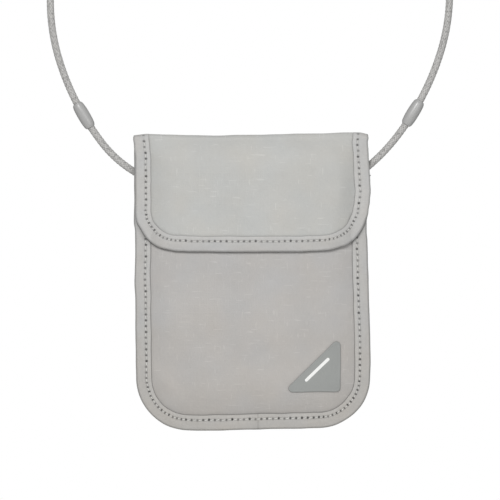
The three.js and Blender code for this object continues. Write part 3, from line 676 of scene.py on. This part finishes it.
def flap_panels():
    grid = panel_grid(FLAP_BOTTOM, FLAP_CORNER, PANEL_INSET, FLAP_BOTTOM + PANEL_INSET, HINGE_Z, 1.0, 120)
    sheet("flap_cloth", grid, on_flap(RIM_FLAP), FABRIC, FLAP_CLOTH, "flap", "pouch_fabric", "flap_panel")
    grid = panel_grid(FLAP_BOTTOM, FLAP_CORNER, 1.5, FLAP_BOTTOM + 1.5, HINGE_Z - 3, 2.0, 72)
    sheet("flap_lining_cloth", grid, on_flap(RIM_FLAP_LINING), LINING, LINING_CLOTH, "flap", "lining",
          "flap_lining")


def bend_with_flap(piece):
    """Bakes the fold piece's place into its mesh."""
    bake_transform(piece)


def fold_points(x, radius, angle):
    """Points round the fold: angle 0 at the back, pi at the front. Outer layers lie flatter on top."""
    corner = 0.45 * np.sin(angle) ** 3 * ease((np.abs(x) - 60.0) / 10.0)
    pressed = 0.85 * np.clip(radius - FOLD_RADIUS, 0, None) * np.sin(angle) ** 2
    layered = radius - pressed + 0.28 * np.sin(2 * angle)
    z, depth = HINGE_Z + layered * np.sin(angle), HINGE_D - layered * np.cos(angle)
    return world(x - np.sign(x) * corner, z, depth)


def fold_cloth():
    angles = np.linspace(0, math.pi, 25)
    x = np.linspace(-1, 1, 121)[None] * (HALF - PANEL_INSET) + 0 * angles[:, None]
    angle = np.repeat(angles[:, None], x.shape[1], 1)
    build = Build()
    uv = np.stack([x, HINGE_Z + FOLD_RADIUS * (math.pi - angle)], -1)
    build.shell(fold_points(x, FOLD_RADIUS, angle), fold_points(x, FOLD_RADIUS - FABRIC, angle), uv)
    bend_with_flap(build.made("fold_cloth", FLAP_CLOTH, slot="pouch_fabric", nodes=["flap_panel"]))


# ---- Edge tape ---------------------------------------------------------------------------

class Seam:
    """A U-shaped path round an outline, from the left top to the right top."""

    def __init__(self, bottom, corner, top):
        self.bottom, self.corner, self.top = bottom, corner, top
        self.side = top - bottom - corner
        self.arc = corner * math.pi / 2
        self.base = 2 * (HALF - corner)
        self.length = 2 * (self.side + self.arc) + self.base

    def at(self, s, inset):
        """(x, z) a distance along the path and in from it."""
        s, inset = np.broadcast_arrays(np.asarray(s, float), np.asarray(inset, float))
        mirrored = s > self.length / 2
        run = np.where(mirrored, self.length - s, s)
        turn = np.clip((run - self.side) / self.corner, 0, math.pi / 2)
        radius = self.corner - inset
        along = np.clip(run - self.side - self.arc, 0, self.base)
        x = -HALF + self.corner - radius * np.cos(turn) + along
        z = self.bottom + self.corner - radius * np.sin(turn) + np.maximum(self.side - run, 0)
        return np.where(mirrored, -x, x), z


class Line:
    """A straight path with its inner side to the right of its direction."""

    def __init__(self, x0, z0, x1, z1):
        self.x0, self.z0, self.length = x0, z0, math.hypot(x1 - x0, z1 - z0)
        self.dx, self.dz = (x1 - x0) / self.length, (z1 - z0) / self.length

    def at(self, s, inset):
        s, inset = np.broadcast_arrays(np.asarray(s, float), np.asarray(inset, float))
        return self.x0 + self.dx * s + self.dz * inset, self.z0 + self.dz * s - self.dx * inset


def tape_puff(inset, width=TAPE_WIDTH):
    outside = np.clip((inset - 0.3) / (STITCH_INSET - 0.3), 0, 1)
    inside = np.clip((inset - STITCH_INSET) / (width - STITCH_INSET), 0, 1)
    return 0.3 * np.sin(math.pi * outside) ** 0.8 + 0.13 * np.sin(math.pi * inside)


def tape_section(stack, width=TAPE_WIDTH):
    """(inset, height) round a folded tape's section, starting at the front's inner edge."""
    scale = width / TAPE_WIDTH
    front = scale * np.array([9.2, 9.0, 8.6, 8.1, 7.5, 6.9, 6.5, 6.3, 6.1, 5.6, 4.8, 3.9, 3.0, 2.1, 1.4,
                              0.95])
    turn = np.radians([75, 50, 25, 0, -25, -50, -75])
    back = np.array([0.95, 2.1, 3.9, 5.6, 6.3, 6.9, 8.1, 9.2]) * scale
    lip, inner = 9.36 * scale, np.array([9.1, 5.0, 0.85]) * scale
    inset = np.concatenate([front, front[-1] * (1 - np.cos(turn)), back, [lip, lip], inner, [0.6 * scale],
                            inner[::-1], [lip, lip]])
    height = np.concatenate([stack + tape_puff(front, width), stack / 2 * (1 + np.sin(turn)),
                             -tape_puff(back, width), [0.12, TAPE - 0.1], [TAPE] * 3, [stack / 2],
                             [stack - TAPE] * 3, [stack - TAPE + 0.1, stack - 0.12]])
    return inset, height


def tape_points(seam, s, inset, height, depth, flap):
    """Points of a tape, with its puckers and needle dimples, for every station s."""
    s = s[:, None]
    inset = inset[None] + 0 * s
    outward = np.where(height > TAPE, 1.0, -1.0)[None]
    near = hump((inset - STITCH_INSET) / 1.3)
    phase = np.cos(2 * math.pi * s / STITCH_PITCH)
    hole = hump((inset - STITCH_INSET) / 0.35) * np.clip(-phase * 3 - 2, 0, 1)
    lap = TAPE_LAP * ease((s - BODY_JOIN) / 0.7) * ease((BODY_JOIN + 9.0 - s) / 6.0) * (not flap)
    swell = 0.06 * near * phase - 0.2 * hole + 0.1 * ALONG(s, 2.5 * inset) * ease(inset / 2) + lap
    wander = 0.22 * ALONG(s, 40 + 0 * s) * ease((inset - STITCH_INSET) / 2.5)
    wander = wander + 0.1 * ALONG(s + 30, 90 + 0 * s) * ease(1 - inset / 2)
    settled = ease(s / 6.0) * ease((seam.length - s) / 6.0)
    x, z = seam.at(s, inset + wander * settled)
    return world(x, z, depth(x, z) + height[None] + outward * swell * settled, flap)


def tape(name, seam, stack, depth, material, body, node, width=TAPE_WIDTH):
    """A folded tape sewn along a seam."""
    stations = np.linspace(0, seam.length, round(seam.length / STITCH_PITCH * 6) + 1)
    inset, height = tape_section(stack, width)
    points = tape_points(seam, stations, inset, height, depth, body == "flap")
    build = Build()
    build.tube(points, pairs(stations[:, None], np.append(inset, inset[0])[None]))
    build.made(name, material, body, "edge_tape", [node], sharp=60)


BODY_SEAM = Seam(BOTTOM, BODY_CORNER, BODY_TOP)
FLAP_SEAM = Seam(FLAP_BOTTOM, FLAP_CORNER, HINGE_Z)
MOUTH_SEAM = Line(-MOUTH_END, MOUTH_Z + TAPE, MOUTH_END, MOUTH_Z + TAPE)


def tapes():
    tape("body_tape", BODY_SEAM, BODY_TAPE_STACK, level(RIM_BODY_TAPE), TAPE_CLOTH, "pouch", "body_binding")
    tape("flap_tape", FLAP_SEAM, FLAP_TAPE_STACK, on_flap(RIM_FLAP_TAPE), FLAP_TAPE, "flap", "flap_binding")
    tape("mouth_tape", MOUTH_SEAM, MOUTH_TAPE_STACK, on_body(RIM_FRONT - TAPE), TAPE_CLOTH, "pouch",
         "mouth_binding", MOUTH_LEG)


def fold_tape(name, sign):
    """The flap's side tape as it runs over the fold and down behind the pouch."""
    inset, height = tape_section(FLAP_TAPE_STACK)
    x = sign * (HALF - inset)[None]
    angles = np.linspace(0, math.pi, 21)[:, None]
    radius = (RIM_FLAP_TAPE - HINGE_D + height)[None]
    turned = fold_points(x + 0 * angles, radius + 0 * angles, angles + 0 * x)
    drop = np.array([3.4, 1.7])[:, None]
    straight = world(x + 0 * drop, HINGE_Z - drop + 0 * x, HINGE_D - radius + 0 * drop)
    along = np.concatenate([-drop[:, 0], angles[:, 0] * FOLD_RADIUS])
    build = Build()
    build.tube(np.concatenate([straight, turned]), pairs(along[:, None], np.append(inset, inset[0])[None]))
    bend_with_flap(build.made(name, FLAP_TAPE, slot="edge_tape", nodes=["flap_binding"], sharp=60))


# ---- Stitches ----------------------------------------------------------------------------

def stitch_rings(start, end, side, up, radius, lift, sides=6, stations=7):
    """Rings of one bowed stitch whose ends dive into the cloth."""
    t = np.linspace(0, 1, stations)
    centre = start + (end - start) * t[:, None] + up * (lift * np.sin(math.pi * t) ** 0.6)[:, None]
    size = radius * (0.3 + 0.7 * np.sin(math.pi * t) ** 0.4)
    turn = turns(sides)
    ring = side[None] * np.cos(turn)[:, None] + up[None] * np.sin(turn)[:, None]
    return centre[:, None] + ring[None] * size[:, None, None]


def add_stitch(build, start, end, up, radius=0.2):
    along = end - start
    length = np.linalg.norm(along)
    side = np.cross(along / length, up)
    rings = stitch_rings(start, end, side, up, radius * MM, 0.26 * MM)
    u = np.linspace(0, length / MM, rings.shape[0])
    v = np.linspace(0, 1, rings.shape[1] + 1)
    build.tube(rings, pairs(u[:, None], v[None]))


def seam_stitches(name, seam, inset, depth, body, *nodes, seed, front=True, pitch=STITCH_PITCH):
    """A row of stitches along a path, `depth` being the surface they lie on."""
    rng = random.Random(seed)
    up = np.array([0.0, -1.0 if front else 1.0, 0.0])
    build = Build()
    s = pitch * 0.5
    while s + pitch < seam.length:
        gap = rng.uniform(0.42, 0.6)
        slant = rng.uniform(0.2, 0.8)
        ends = []
        for at in (s + gap, s + pitch - gap):
            x, z = seam.at(at, inset + slant * (at - s - pitch / 2) / pitch + rng.uniform(-0.14, 0.14))
            ends.append(world(x, z, depth(x, z), body == "flap"))
        add_stitch(build, ends[0], ends[1], up, 0.27 * rng.uniform(0.8, 1.15))
        s += pitch
    build.made(name, THREAD, body, "thread", nodes)


def all_stitches():
    for name, seam, rim, stack, layer, body, seed in (
            ("body", BODY_SEAM, RIM_BODY_TAPE, BODY_TAPE_STACK, level, "pouch", 3),
            ("flap", FLAP_SEAM, RIM_FLAP_TAPE, FLAP_TAPE_STACK, on_flap, "flap", 5)):
        front, back = layer(rim + stack - STITCH_SUNK), layer(rim + STITCH_SUNK)
        row = (seam, STITCH_INSET)
        node = name + "_seam_thread"
        seam_stitches(name + "_stitches_front", *row, front, body, node, seed=seed)
        seam_stitches(name + "_stitches_back", *row, back, body, node, seed=seed + 1, front=False)
    seam_stitches("mouth_stitches", MOUTH_SEAM, MOUTH_LEG * STITCH_INSET / TAPE_WIDTH,
                  on_body(RIM_FRONT - TAPE + MOUTH_TAPE_STACK - STITCH_SUNK), "pouch", seed=7)
    for name, z, seed in (("zip_stitches_lower", ZIP_Z - 5.0, 8), ("zip_stitches_upper", ZIP_Z + 5.0, 9)):
        seam_stitches(name, Line(-58, z, 58, z), 0.0, on_body(RIM_FRONT + FABRIC - 0.05), "pouch", seed=seed,
                      pitch=2.8)


# ---- Label -------------------------------------------------------------------------------

def label_outline():
    """Points round a right triangle with rounded corners, anticlockwise."""
    reach = LABEL_CORNER / math.tan(math.pi / 8)
    low = LABEL_BOTTOM + LABEL_CORNER
    right = LABEL_RIGHT - LABEL_CORNER
    arcs = ((LABEL_RIGHT - LABEL_SIDE + reach, low, 135, 270), (right, low, 270, 360),
            (right, LABEL_BOTTOM + LABEL_SIDE - reach, 0, 135))
    points = []
    for x, z, start, end in arcs:
        turn = np.radians(np.linspace(start, end, 14))
        arc = np.stack([x + LABEL_CORNER * np.cos(turn), z + LABEL_CORNER * np.sin(turn)], -1)
        if points:
            points.append(np.linspace(points[-1][-1], arc[0], 30)[1:-1])
        points.append(arc)
    points.append(np.linspace(points[-1][-1], points[0][0], 40)[1:-1])
    return np.concatenate(points)


label_back = on_body(RIM_FRONT + FABRIC + 0.1)  # just clear of the front cloth


def label_patch():
    """The raised triangle, as rings from its back over its rim to its face."""
    outline = label_outline()
    radius = LABEL_SIDE * (1 - math.sqrt(0.5))
    centre = np.array([LABEL_RIGHT - radius, LABEL_BOTTOM + radius])
    section = [(8.2, 0), (4, 0), (0, 0), (-0.02, LABEL - 0.25), (0.06, LABEL - 0.09), (0.22, LABEL),
               (0.55, LABEL), (0.8, LABEL - 0.02)]
    section += [(inset, LABEL_PLATE) for inset in (1.05, 1.6, 2.5, 3.5, 4.6, 5.8, 7.0, 8.2)]
    dimples = ((LABEL_RIGHT - LABEL_SIDE + 5.2, LABEL_BOTTOM + 1.5),
               (LABEL_RIGHT - 1.5, LABEL_BOTTOM + LABEL_SIDE - 5.2))
    rings, uv = [], []
    for inset, height in section:
        flat = centre + (outline - centre) * (1 - inset / radius)
        x, z = flat[:, 0], flat[:, 1]
        dimple = sum(np.exp(-((x - a) ** 2 + (z - b) ** 2) / 0.8) for a, b in dimples)
        rings.append(world(x, z, label_back(x, z) + height - 0.16 * dimple * (height > 0.3)))
        uv.append(np.concatenate([flat, flat[:1]]))
    build = Build()
    build.tube(np.array(rings), np.array(uv))
    build.made("label_patch_face", LABEL_FACE, "pouch", "label", ["label_patch"], sharp=70)


def label_bar():
    """A plain bar along the label's long edge, lying on its face."""
    inset = MARK_INSET * math.sqrt(0.5)
    middle = (LABEL_RIGHT - LABEL_SIDE / 2 + inset, LABEL_BOTTOM + LABEL_SIDE / 2 - inset)
    along = np.linspace(-1, 1, 41)[None]
    width = MARK_WIDTH / 2 * np.minimum(1, (1 - np.abs(along) ** 30)) ** 0.5 + 0.02
    turn = turns(16)[:, None]
    a = MARK_LENGTH / 2 * along + 0 * turn
    b = width * np.sign(np.cos(turn)) * np.abs(np.cos(turn)) ** 0.35
    x = middle[0] + (a - b) * math.sqrt(0.5)
    z = middle[1] + (a + b) * math.sqrt(0.5)
    rings = world(x, z, label_back(x, z) + LABEL_PLATE + 0.05 * np.sin(turn)).transpose(1, 0, 2)
    build = Build()
    build.tube(rings, np.stack([np.append(a.T, a.T[:, :1], 1), np.append(b.T, b.T[:, :1], 1)], -1))
    build.made("label_plain_bar", LABEL_INK, "pouch", "label_print", ["label_mark"])


# ---- Neck cord ---------------------------------------------------------------------------

def side_point(side, length):
    """(x, z, angle from straight up) of a side's cord, a length along from where it leaves the pouch."""
    length = np.asarray(length, float)
    inner = np.minimum(length, 0)
    x = EXIT_X + inner * math.sin(side["angle"])
    z = side["exit_z"] + inner * math.cos(side["angle"])
    angle = side["angle"] + 0 * length
    runs = ((side["low_radius"], np.clip(length, 0, side["low_length"])),
            (side["radius"], np.clip(length - side["low_length"], 0, None)))
    for radius, run in runs:
        end = angle - run / radius
        x = x + radius * (np.cos(end) - np.cos(angle))
        z = z + radius * (np.sin(angle) - np.sin(end))
        angle = end
    return side["sign"] * x, z, angle


def bezier(points, t):
    a, b, c, d = (np.asarray(p)[None] for p in points)
    t = t[:, None]
    return (1 - t) ** 3 * a + 3 * (1 - t) ** 2 * t * b + 3 * (1 - t) * t ** 2 * c + t ** 3 * d


class Cord:
    """The cord's whole path from the left sewn end over the loop to the right; s is 0 at the left exit."""

    def __init__(self):
        halves, tops = {}, []
        for side in SIDES.values():
            x, z, angle = side_point(side, SIDE_LENGTH)
            tops.append(float(z + abs(x) / np.cos(angle) * (1 + np.sin(angle))))
        crown = np.array([0.0, sum(tops) / 2])
        for name, side in SIDES.items():
            lengths = np.arange(-CORD_END_LENGTH, SIDE_LENGTH, 0.25)
            x, z, _ = side_point(side, lengths)
            ex, ez, angle = (float(v) for v in side_point(side, SIDE_LENGTH))
            handle = 4 / 3 * math.tan((angle + math.pi / 2) / 4) * abs(ex) / math.cos(angle)
            start = np.array([ex, ez])
            toward = start + handle * np.array([side["sign"] * math.sin(angle), math.cos(angle)])
            top = bezier((start, toward, crown + [side["sign"] * handle, 0], crown), np.linspace(0, 1, 600))
            halves[name] = np.concatenate([np.stack([x, z], -1), top])
        line = np.concatenate([halves["left"], halves["right"][::-1][1:]])
        self.s = np.concatenate([[0], np.cumsum(np.hypot(*np.diff(line, axis=0).T))]) - CORD_END_LENGTH
        self.line = line
        self.end = self.s[-1]

    def at(self, s):
        """(x, z) a distance along the path."""
        return np.stack([np.interp(s, self.s, self.line[:, i]) for i in (0, 1)], -1)

    def course(self, s):
        """(x, z) and the unit direction there."""
        step = 0.4
        along = self.at(s + step) - self.at(s - step)
        along /= np.linalg.norm(along, axis=1)[:, None]
        return self.at(s), along


def braid(turn, s):
    """Height of a braid of two sets of strands, 0 in the gaps to about 1 on top."""
    strands, lay = 8, 2.3
    a = turn / (2 * math.pi) * strands + s / lay
    b = turn / (2 * math.pi) * strands - s / lay

    def strand(own, other, sign):
        across = own - np.floor(own) - 0.5
        over = sign * np.sin(math.pi * (other + np.floor(own)))
        return np.sqrt(np.clip(1 - (across / 0.56) ** 2, 0, 1)) * 0.6 + 0.4 * over
    return np.maximum(strand(a, b, 1), strand(b, a, -1))


def cord_piece(name, path, start, end, nodes, sides=44, step=0.4):
    """A length of cord; its height attribute paints shade into the gaps between the strands."""
    s = np.linspace(start, end, int((end - start) / step) + 1)
    turn = turns(sides)[None]
    centre, along = path.course(s)
    height = braid(turn, s[:, None])
    radius = CORD_RADIUS - BRAID_SUNK + BRAID_HEIGHT * height
    normal = np.stack([along[:, 1], 0 * s, -along[:, 0]], -1)
    middle = np.stack([centre[:, 0], -CORD_DEPTH + 0 * s, centre[:, 1]], -1)
    rings = (middle[:, None] + radius[..., None] * (np.cos(turn)[..., None] * normal[:, None]
             + np.sin(turn)[..., None] * np.array([0.0, -1.0, 0.0]))) * MM
    around = np.linspace(0, 2 * math.pi * CORD_RADIUS, sides + 1)
    build = Build()
    build.tube(rings, pairs(around[None], s[:, None]))
    piece = build.made(name, CORD, slot="cord", nodes=nodes, sharp=180)
    values = np.zeros(len(piece.data.vertices), np.float32)
    values[:height.size] = height.ravel()
    piece.data.attributes.new("height", "FLOAT", "POINT").data.foreach_set("value", values)
    return piece


def neck_cord():
    path = Cord()
    left, right = SIDES["left"]["bead"], path.end - CORD_END_LENGTH - SIDES["right"]["bead"]
    loop = cord_piece("neck_cord_loop", path, left, right, ["neck_cord_sheath", "neck_cord_core"])
    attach(loop, "neck_cord")
    spans = {"left": (-CORD_END_LENGTH, left), "right": (right, path.end)}
    for name, (start, end) in spans.items():
        piece = cord_piece(name + "_cord_length", path, start, end, [name + "_cord_end", "neck_cord_sheath"])
        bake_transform(piece)


def bead(name, side):
    """A barrel with rounded lips and a bore, round the cord's curve."""
    half = BEAD_LENGTH / 2
    lip = 0.32
    t = np.linspace(-1, 1, 25)
    radius = BEAD_END_RADIUS + (BEAD_RADIUS - BEAD_END_RADIUS) * np.sqrt(1 - np.abs(t) ** 2.2)
    outer = np.stack([radius, t * (half - lip)], -1)
    turn = np.linspace(0, math.pi, 9)[1:-1]
    lip_middle, lip_swing = (outer[-1, 0] + BEAD_BORE) / 2, (outer[-1, 0] - BEAD_BORE) / 2
    top = np.stack([lip_middle + lip_swing * np.cos(turn), half - lip + lip * np.sin(turn)], -1)
    bore = np.stack([np.full(5, BEAD_BORE), np.linspace(half - lip, -(half - lip), 5)], -1)
    low = np.stack([lip_middle - lip_swing * np.cos(turn), -(half - lip) - lip * np.sin(turn)], -1)
    section = np.concatenate([outer, top, bore, low])
    x, z, angle = (float(v) for v in side_point(side, side["bead"]))
    along = np.array([side["sign"] * math.sin(angle), 0, math.cos(angle)])
    front = np.array([0.0, -1.0, 0.0])
    across = np.cross(along, front)
    inward = np.array([-side["sign"] * math.cos(angle), 0, math.sin(angle)])
    centre = np.array([x, -CORD_DEPTH, z]) + inward * BEAD_LENGTH ** 2 / (16 * side["radius"])
    around = turns(64)
    spokes = np.cos(around)[:, None] * across + np.sin(around)[:, None] * front
    rings = centre + section[:, None, 0:1] * spokes[None] + section[:, None, 1:2] * along
    uv = pairs(np.linspace(0, 2 * math.pi * BEAD_RADIUS, 65)[None], np.arange(len(rings) + 1)[:, None] * 0.6)
    build = Build()
    index = build.grid(rings * MM, uv[:-1], wrap=True)
    build.quads(np.stack([index[-1], index[0]]), uv[:2])
    build.made(name + "_bead_barrel", BEAD, name + "_bead", "bead", [name + "_bead"], sharp=60)


def anchor_tab(name, side):
    """A hemmed tab sewn over the cord's end behind the pouch."""
    outward = np.array([side["sign"] * math.sin(side["angle"]), 0, math.cos(side["angle"])])
    back = np.array([0.0, 1.0, 0.0])
    across = np.cross(back, outward)
    centre = np.array([side["sign"] * EXIT_X, 0, side["exit_z"]]) - outward * TAB_FROM_EXIT

    def place(a, b, height):
        """A point `a` across the cord and `b` along it, this high above the back."""
        a, b, height = np.broadcast_arrays(a, b, height)
        return (centre + a[..., None] * across + b[..., None] * outward + height[..., None] * back) * MM

    def arch(a):
        """Height of the tab over the cord, from its flat feet to its crown."""
        foot, rise, crown_half, slope = 0.1, 4.55, 0.9, 2.9
        return foot + rise * (1 - ease((np.abs(a) - crown_half) / slope))

    a = np.linspace(-TAB_HALF_WIDTH, TAB_HALF_WIDTH, 53)[None]
    b = np.linspace(-TAB_HALF_LENGTH, TAB_HALF_LENGTH, 31)[:, None]
    hem = 0.3 * ease((np.abs(b) - TAB_HALF_LENGTH + 1.3) / 0.3) + 0.05 * np.sin(b * 2.1 + a)
    build = Build()
    build.shell(place(a, b, arch(a) + FABRIC + hem), place(a, b, arch(a) + 0 * b), pairs(a, b))
    build.made(name + "_tab_cloth", BODY_CLOTH, "pouch", "pouch_fabric", [name + "_anchor_tab"])

    build = Build()
    rng = random.Random(side["exit_z"])
    runs = [((sign * 4.4, -4.6), (sign * 4.4, 4.6)) for sign in (-1, 1)]
    runs += [((start, b), (start + 1.5, b)) for start in (-4.8, 3.3) for b in (-4.2, 4.2)]
    for (a0, b0), (a1, b1) in runs:
        count = max(1, round(math.hypot(a1 - a0, b1 - b0) / 2.3))
        for i in range(count):
            ends = []
            for t in ((i + 0.1) / count, (i + 0.9) / count):
                a = a0 + (a1 - a0) * t
                ends.append(place(a, b0 + (b1 - b0) * t + rng.uniform(-0.08, 0.08), arch(a) + FABRIC + 0.05))
            add_stitch(build, ends[0], ends[1], back)
    build.made(name + "_tab_stitches", THREAD, "pouch", "thread")


# ---- Zip and closure ---------------------------------------------------------------------

def wire_rings(line, radius, guide, sides):
    """Rings round a bent line; `guide` is any direction that it never takes."""
    along = np.gradient(line, axis=0)
    along /= np.linalg.norm(along, axis=1)[:, None]
    first = np.cross(along, guide)
    first /= np.linalg.norm(first, axis=1)[:, None]
    second = np.cross(along, first)
    turn = turns(sides)[None, :, None]
    return line[:, None] + radius * (np.cos(turn) * first[:, None] + np.sin(turn) * second[:, None])


def coil(name, side):
    """One row of the zip's nylon coil, wound along the tape's edge, one turn to the millimetre."""
    wire, half_width, half_height, centre = 0.24, 0.84, 0.24, 1.36
    x = np.arange(-CHAIN_HALF + 0.3, CHAIN_HALF - 0.3, 1 / 12)
    phase = 2 * math.pi * x + (0 if side > 0 else math.pi)
    z = ZIP_Z + side * (centre + half_width * np.cos(phase))
    above = wire + half_height - 0.06  # the wire lies a little into the tape
    depth = RIM_ZIP_TAPE + ZIP_TAPE + above + half_height * np.sin(phase) + body_rise(x, ZIP_Z + 0 * x)
    rings = wire_rings(np.stack([x, -depth, z], -1), wire, [1.0, 0.0, 0.0], 6) * MM
    build = Build()
    build.tube(rings, pairs(np.linspace(0, 1.5, 7)[None], x[:, None] * 5))
    build.made(name + "_winding", COIL, "pouch", "zip_coil", [name], sharp=180)


def soften(node, material, width):
    """Gives a carried-over metal node its finish and broken edges."""
    piece = frame["nodes"][node]
    piece.data.materials.clear()
    piece.data.materials.append(material)
    bevel = piece.modifiers.new("edges", "BEVEL")
    bevel.width, bevel.segments, bevel.limit_method = width * MM, 3, "ANGLE"


def patch_plate(name, depth, height, material, body, node):
    """A sewn-on tape with softened edges."""
    half_z = (PATCH_HIGH - PATCH_LOW) / 2
    x = np.linspace(-PATCH_HALF, PATCH_HALF, 79)[None]
    z = np.linspace(-half_z, half_z, 25)[:, None]
    edge = ease(np.minimum(PATCH_HALF - np.abs(x), half_z - np.abs(z)) / 0.8)
    grid = np.broadcast_arrays(x, z + PATCH_Z)
    sheet(name, grid, depth, height * (0.55 + 0.45 * edge), material, body, "hook_and_loop", node)


def bent_wires(name, wires, radius, material, body):
    """Many thin bent wires as one mesh; each wire is a list of points in metres."""
    build = Build()
    for line in wires:
        rings = wire_rings(line, radius * MM, [0.31, 0.2, 0.93], 4)
        build.tube(rings, pairs(np.linspace(0, 1, 5)[None], np.arange(len(line))[:, None] * 0.3))
    build.made(name, material, body, "hook_and_loop", sharp=180)


def loop_fuzz():
    """Short arched loops, scattered over the loop patch."""
    rng = random.Random(77)
    surface = on_body(LOOP_BACK)
    turn = np.linspace(0, math.pi, 6)
    wires = []
    for _ in range(1500):
        x = rng.uniform(-PATCH_HALF + 1.6, PATCH_HALF - 1.6)
        z = rng.uniform(PATCH_LOW + 1.6, PATCH_HIGH - 1.6)
        heading, reach, rise = rng.uniform(0, 2 * math.pi), rng.uniform(0.3, 0.8), rng.uniform(0.2, 0.42)
        xs = x + reach * np.cos(turn) * math.cos(heading)
        zs = z + reach * np.cos(turn) * math.sin(heading)
        wires.append(world(xs, zs, surface(xs, zs) + 0.5 + rise * np.sin(turn)))
    bent_wires("loop_fuzz", wires, 0.055, FUZZ, "pouch")


def hook_rows():
    """Rows of small hooks that lean left and right by turns."""
    surface = on_flap(HOOK_FRONT)
    curl = np.array([0, 0.25, 0.42, 0.5, 0.46, 0.36])
    lean = np.array([0, 0.0, 0.03, 0.14, 0.27, 0.33])
    wires = []
    for row, z in enumerate(np.arange(PATCH_LOW + 1.8, PATCH_HIGH - 1.5, 1.15)):
        for x in np.arange(-PATCH_HALF + 1.8, PATCH_HALF - 1.5, 1.5):
            xs, zs = x + (1 if row % 2 else -1) * lean, z + 0 * lean
            wires.append(world(xs, zs, surface(xs, zs) + 0.5 - curl, True))
    bent_wires("hook_rows", wires, 0.08, HOOKS, "flap")


def closure_stitches():
    """Stitches along the four edges of both patches."""
    half_z, half_x = (PATCH_HIGH - PATCH_LOW) / 2 - 1.1, PATCH_HALF - 1.1
    for i, (a, b, c, d) in enumerate(((-1, 1, 1, 1), (1, 1, 1, -1), (1, -1, -1, -1), (-1, -1, -1, 1))):
        line = Line(a * half_x, PATCH_Z + b * half_z, c * half_x, PATCH_Z + d * half_z)
        seam_stitches(f"loop_tape_stitches_{i}", line, 0.0, on_body(LOOP_BACK + 0.5), "pouch", seed=20 + i,
                      pitch=2.6)
        seam_stitches(f"hook_tape_stitches_{i}", line, 0.0, on_flap(HOOK_FRONT + 0.52), "flap", seed=30 + i,
                      front=False, pitch=2.6)


def closure():
    patch_plate("loop_tape", on_body(LOOP_BACK), 0.55, FUZZ, "pouch", "loop_patch")
    patch_plate("hook_tape", on_flap(HOOK_FRONT + 0.5), 0.5, HOOKS, "flap", "hook_patch")
    loop_fuzz()
    hook_rows()
    closure_stitches()


def zip_parts():
    coil("zip_coil_lower", -1)
    coil("zip_coil_upper", 1)
    for node in ("zip_slider_body", "zip_pull_tab"):
        soften(node, METAL, 0.14)
    for node in ("zip_bottom_stop", "zip_top_stop_lower", "zip_top_stop_upper"):
        soften(node, METAL, 0.2)


# ---- Stage -------------------------------------------------------------------------------

# Name, place in metres, size in metres and power in watts
LIGHTS = (("key", (-0.35, -1.6, 0.95), 0.7, 20.5), ("fill", (0.7, -1.8, 0.3), 1.0, 8.0),
          ("rear", (0.3, 1.7, 0.3), 1.0, 18.0))
LIGHT_TARGET = (0, 0, 0.01)
SKY_LIGHT, SKY_SEEN = 0.26, 1.0


def area_light(name, location, size, power):
    light = bpy.data.lights.new(name, "AREA")
    light.shape, light.size, light.energy = "DISK", size, power
    holder = bpy.data.objects.new(name, light)
    holder.location = location
    holder.rotation_mode = "QUATERNION"
    holder.rotation_quaternion = (Vector(LIGHT_TARGET) - Vector(location)).to_track_quat("-Z", "Y")
    holder.visible_glossy = name != "rear"
    bpy.context.scene.collection.objects.link(holder)


def studio():
    """Soft light all round from a sky that the camera sees as white, and three lamps."""
    scene = bpy.context.scene
    scene.view_settings.view_transform = "Standard"
    sky = bpy.data.worlds.new("studio")
    scene.world = sky
    sky.use_nodes = True
    tree = sky.node_tree
    tree.nodes.clear()
    output = tree.nodes.new("ShaderNodeOutputWorld")
    mix = tree.nodes.new("ShaderNodeMixShader")
    rays = tree.nodes.new("ShaderNodeLightPath")
    for i, strength in ((1, SKY_LIGHT), (2, SKY_SEEN)):
        shade = tree.nodes.new("ShaderNodeBackground")
        shade.inputs["Color"].default_value = (1, 1, 1, 1)
        shade.inputs["Strength"].default_value = strength
        tree.links.new(shade.outputs[0], mix.inputs[i])
    tree.links.new(rays.outputs["Is Camera Ray"], mix.inputs[0])
    tree.links.new(mix.outputs[0], output.inputs[0])
    for light in LIGHTS:
        area_light(*light)


def floor():
    """A pale disc below the hanging pouch, 6 mm thick, with a rounded upper edge."""
    radius, low = 450.0, -190.0
    turn = turns(96)
    rings = []
    for share, depth in ((0.02, -6), (1, -6), (1.0, -1), (0.998, -0.3), (0.99, 0), (0.02, 0)):
        x, y = radius * share * np.cos(turn), radius * share * np.sin(turn)
        rings.append(np.stack([x, y, low + depth + 0 * turn], -1))
    rings = np.array(rings)
    build = Build()
    build.tube(rings * MM, np.concatenate([rings[..., :2], rings[:, :1, :2]], 1))
    look = Look("floor_card", (244, 244, 243), 0.8)
    look.tint(look.total((0.015, look.noise(60.0, 60.0)), (0.01, look.noise(2.0, 2.0))))
    build.made("floor", look.material, sharp=60)


def camera():
    lens = bpy.data.cameras.new("photo_camera")
    distance, width = 2.5, 0.2966  # metres to the pouch, and across the picture there
    lens.sensor_width = 36.0
    lens.lens = lens.sensor_width * distance / width
    lens.clip_start, lens.clip_end = 0.05, 20.0
    holder = bpy.data.objects.new("photo_camera", lens)
    holder.location = (-0.00104, -distance - 0.006, 0.01999)
    holder.rotation_euler = (math.pi / 2, 0, 0)
    bpy.context.scene.collection.objects.link(holder)
    bpy.context.scene.camera = holder


body_panels()
flap_panels()
fold_cloth()
tapes()
fold_tape("left_fold_tape", -1)
fold_tape("right_fold_tape", 1)
all_stitches()
label_patch()
label_bar()
neck_cord()
for side_name, side_values in SIDES.items():
    bead(side_name, side_values)
    anchor_tab(side_name, side_values)
zip_parts()
closure()
floor()
studio()
camera()
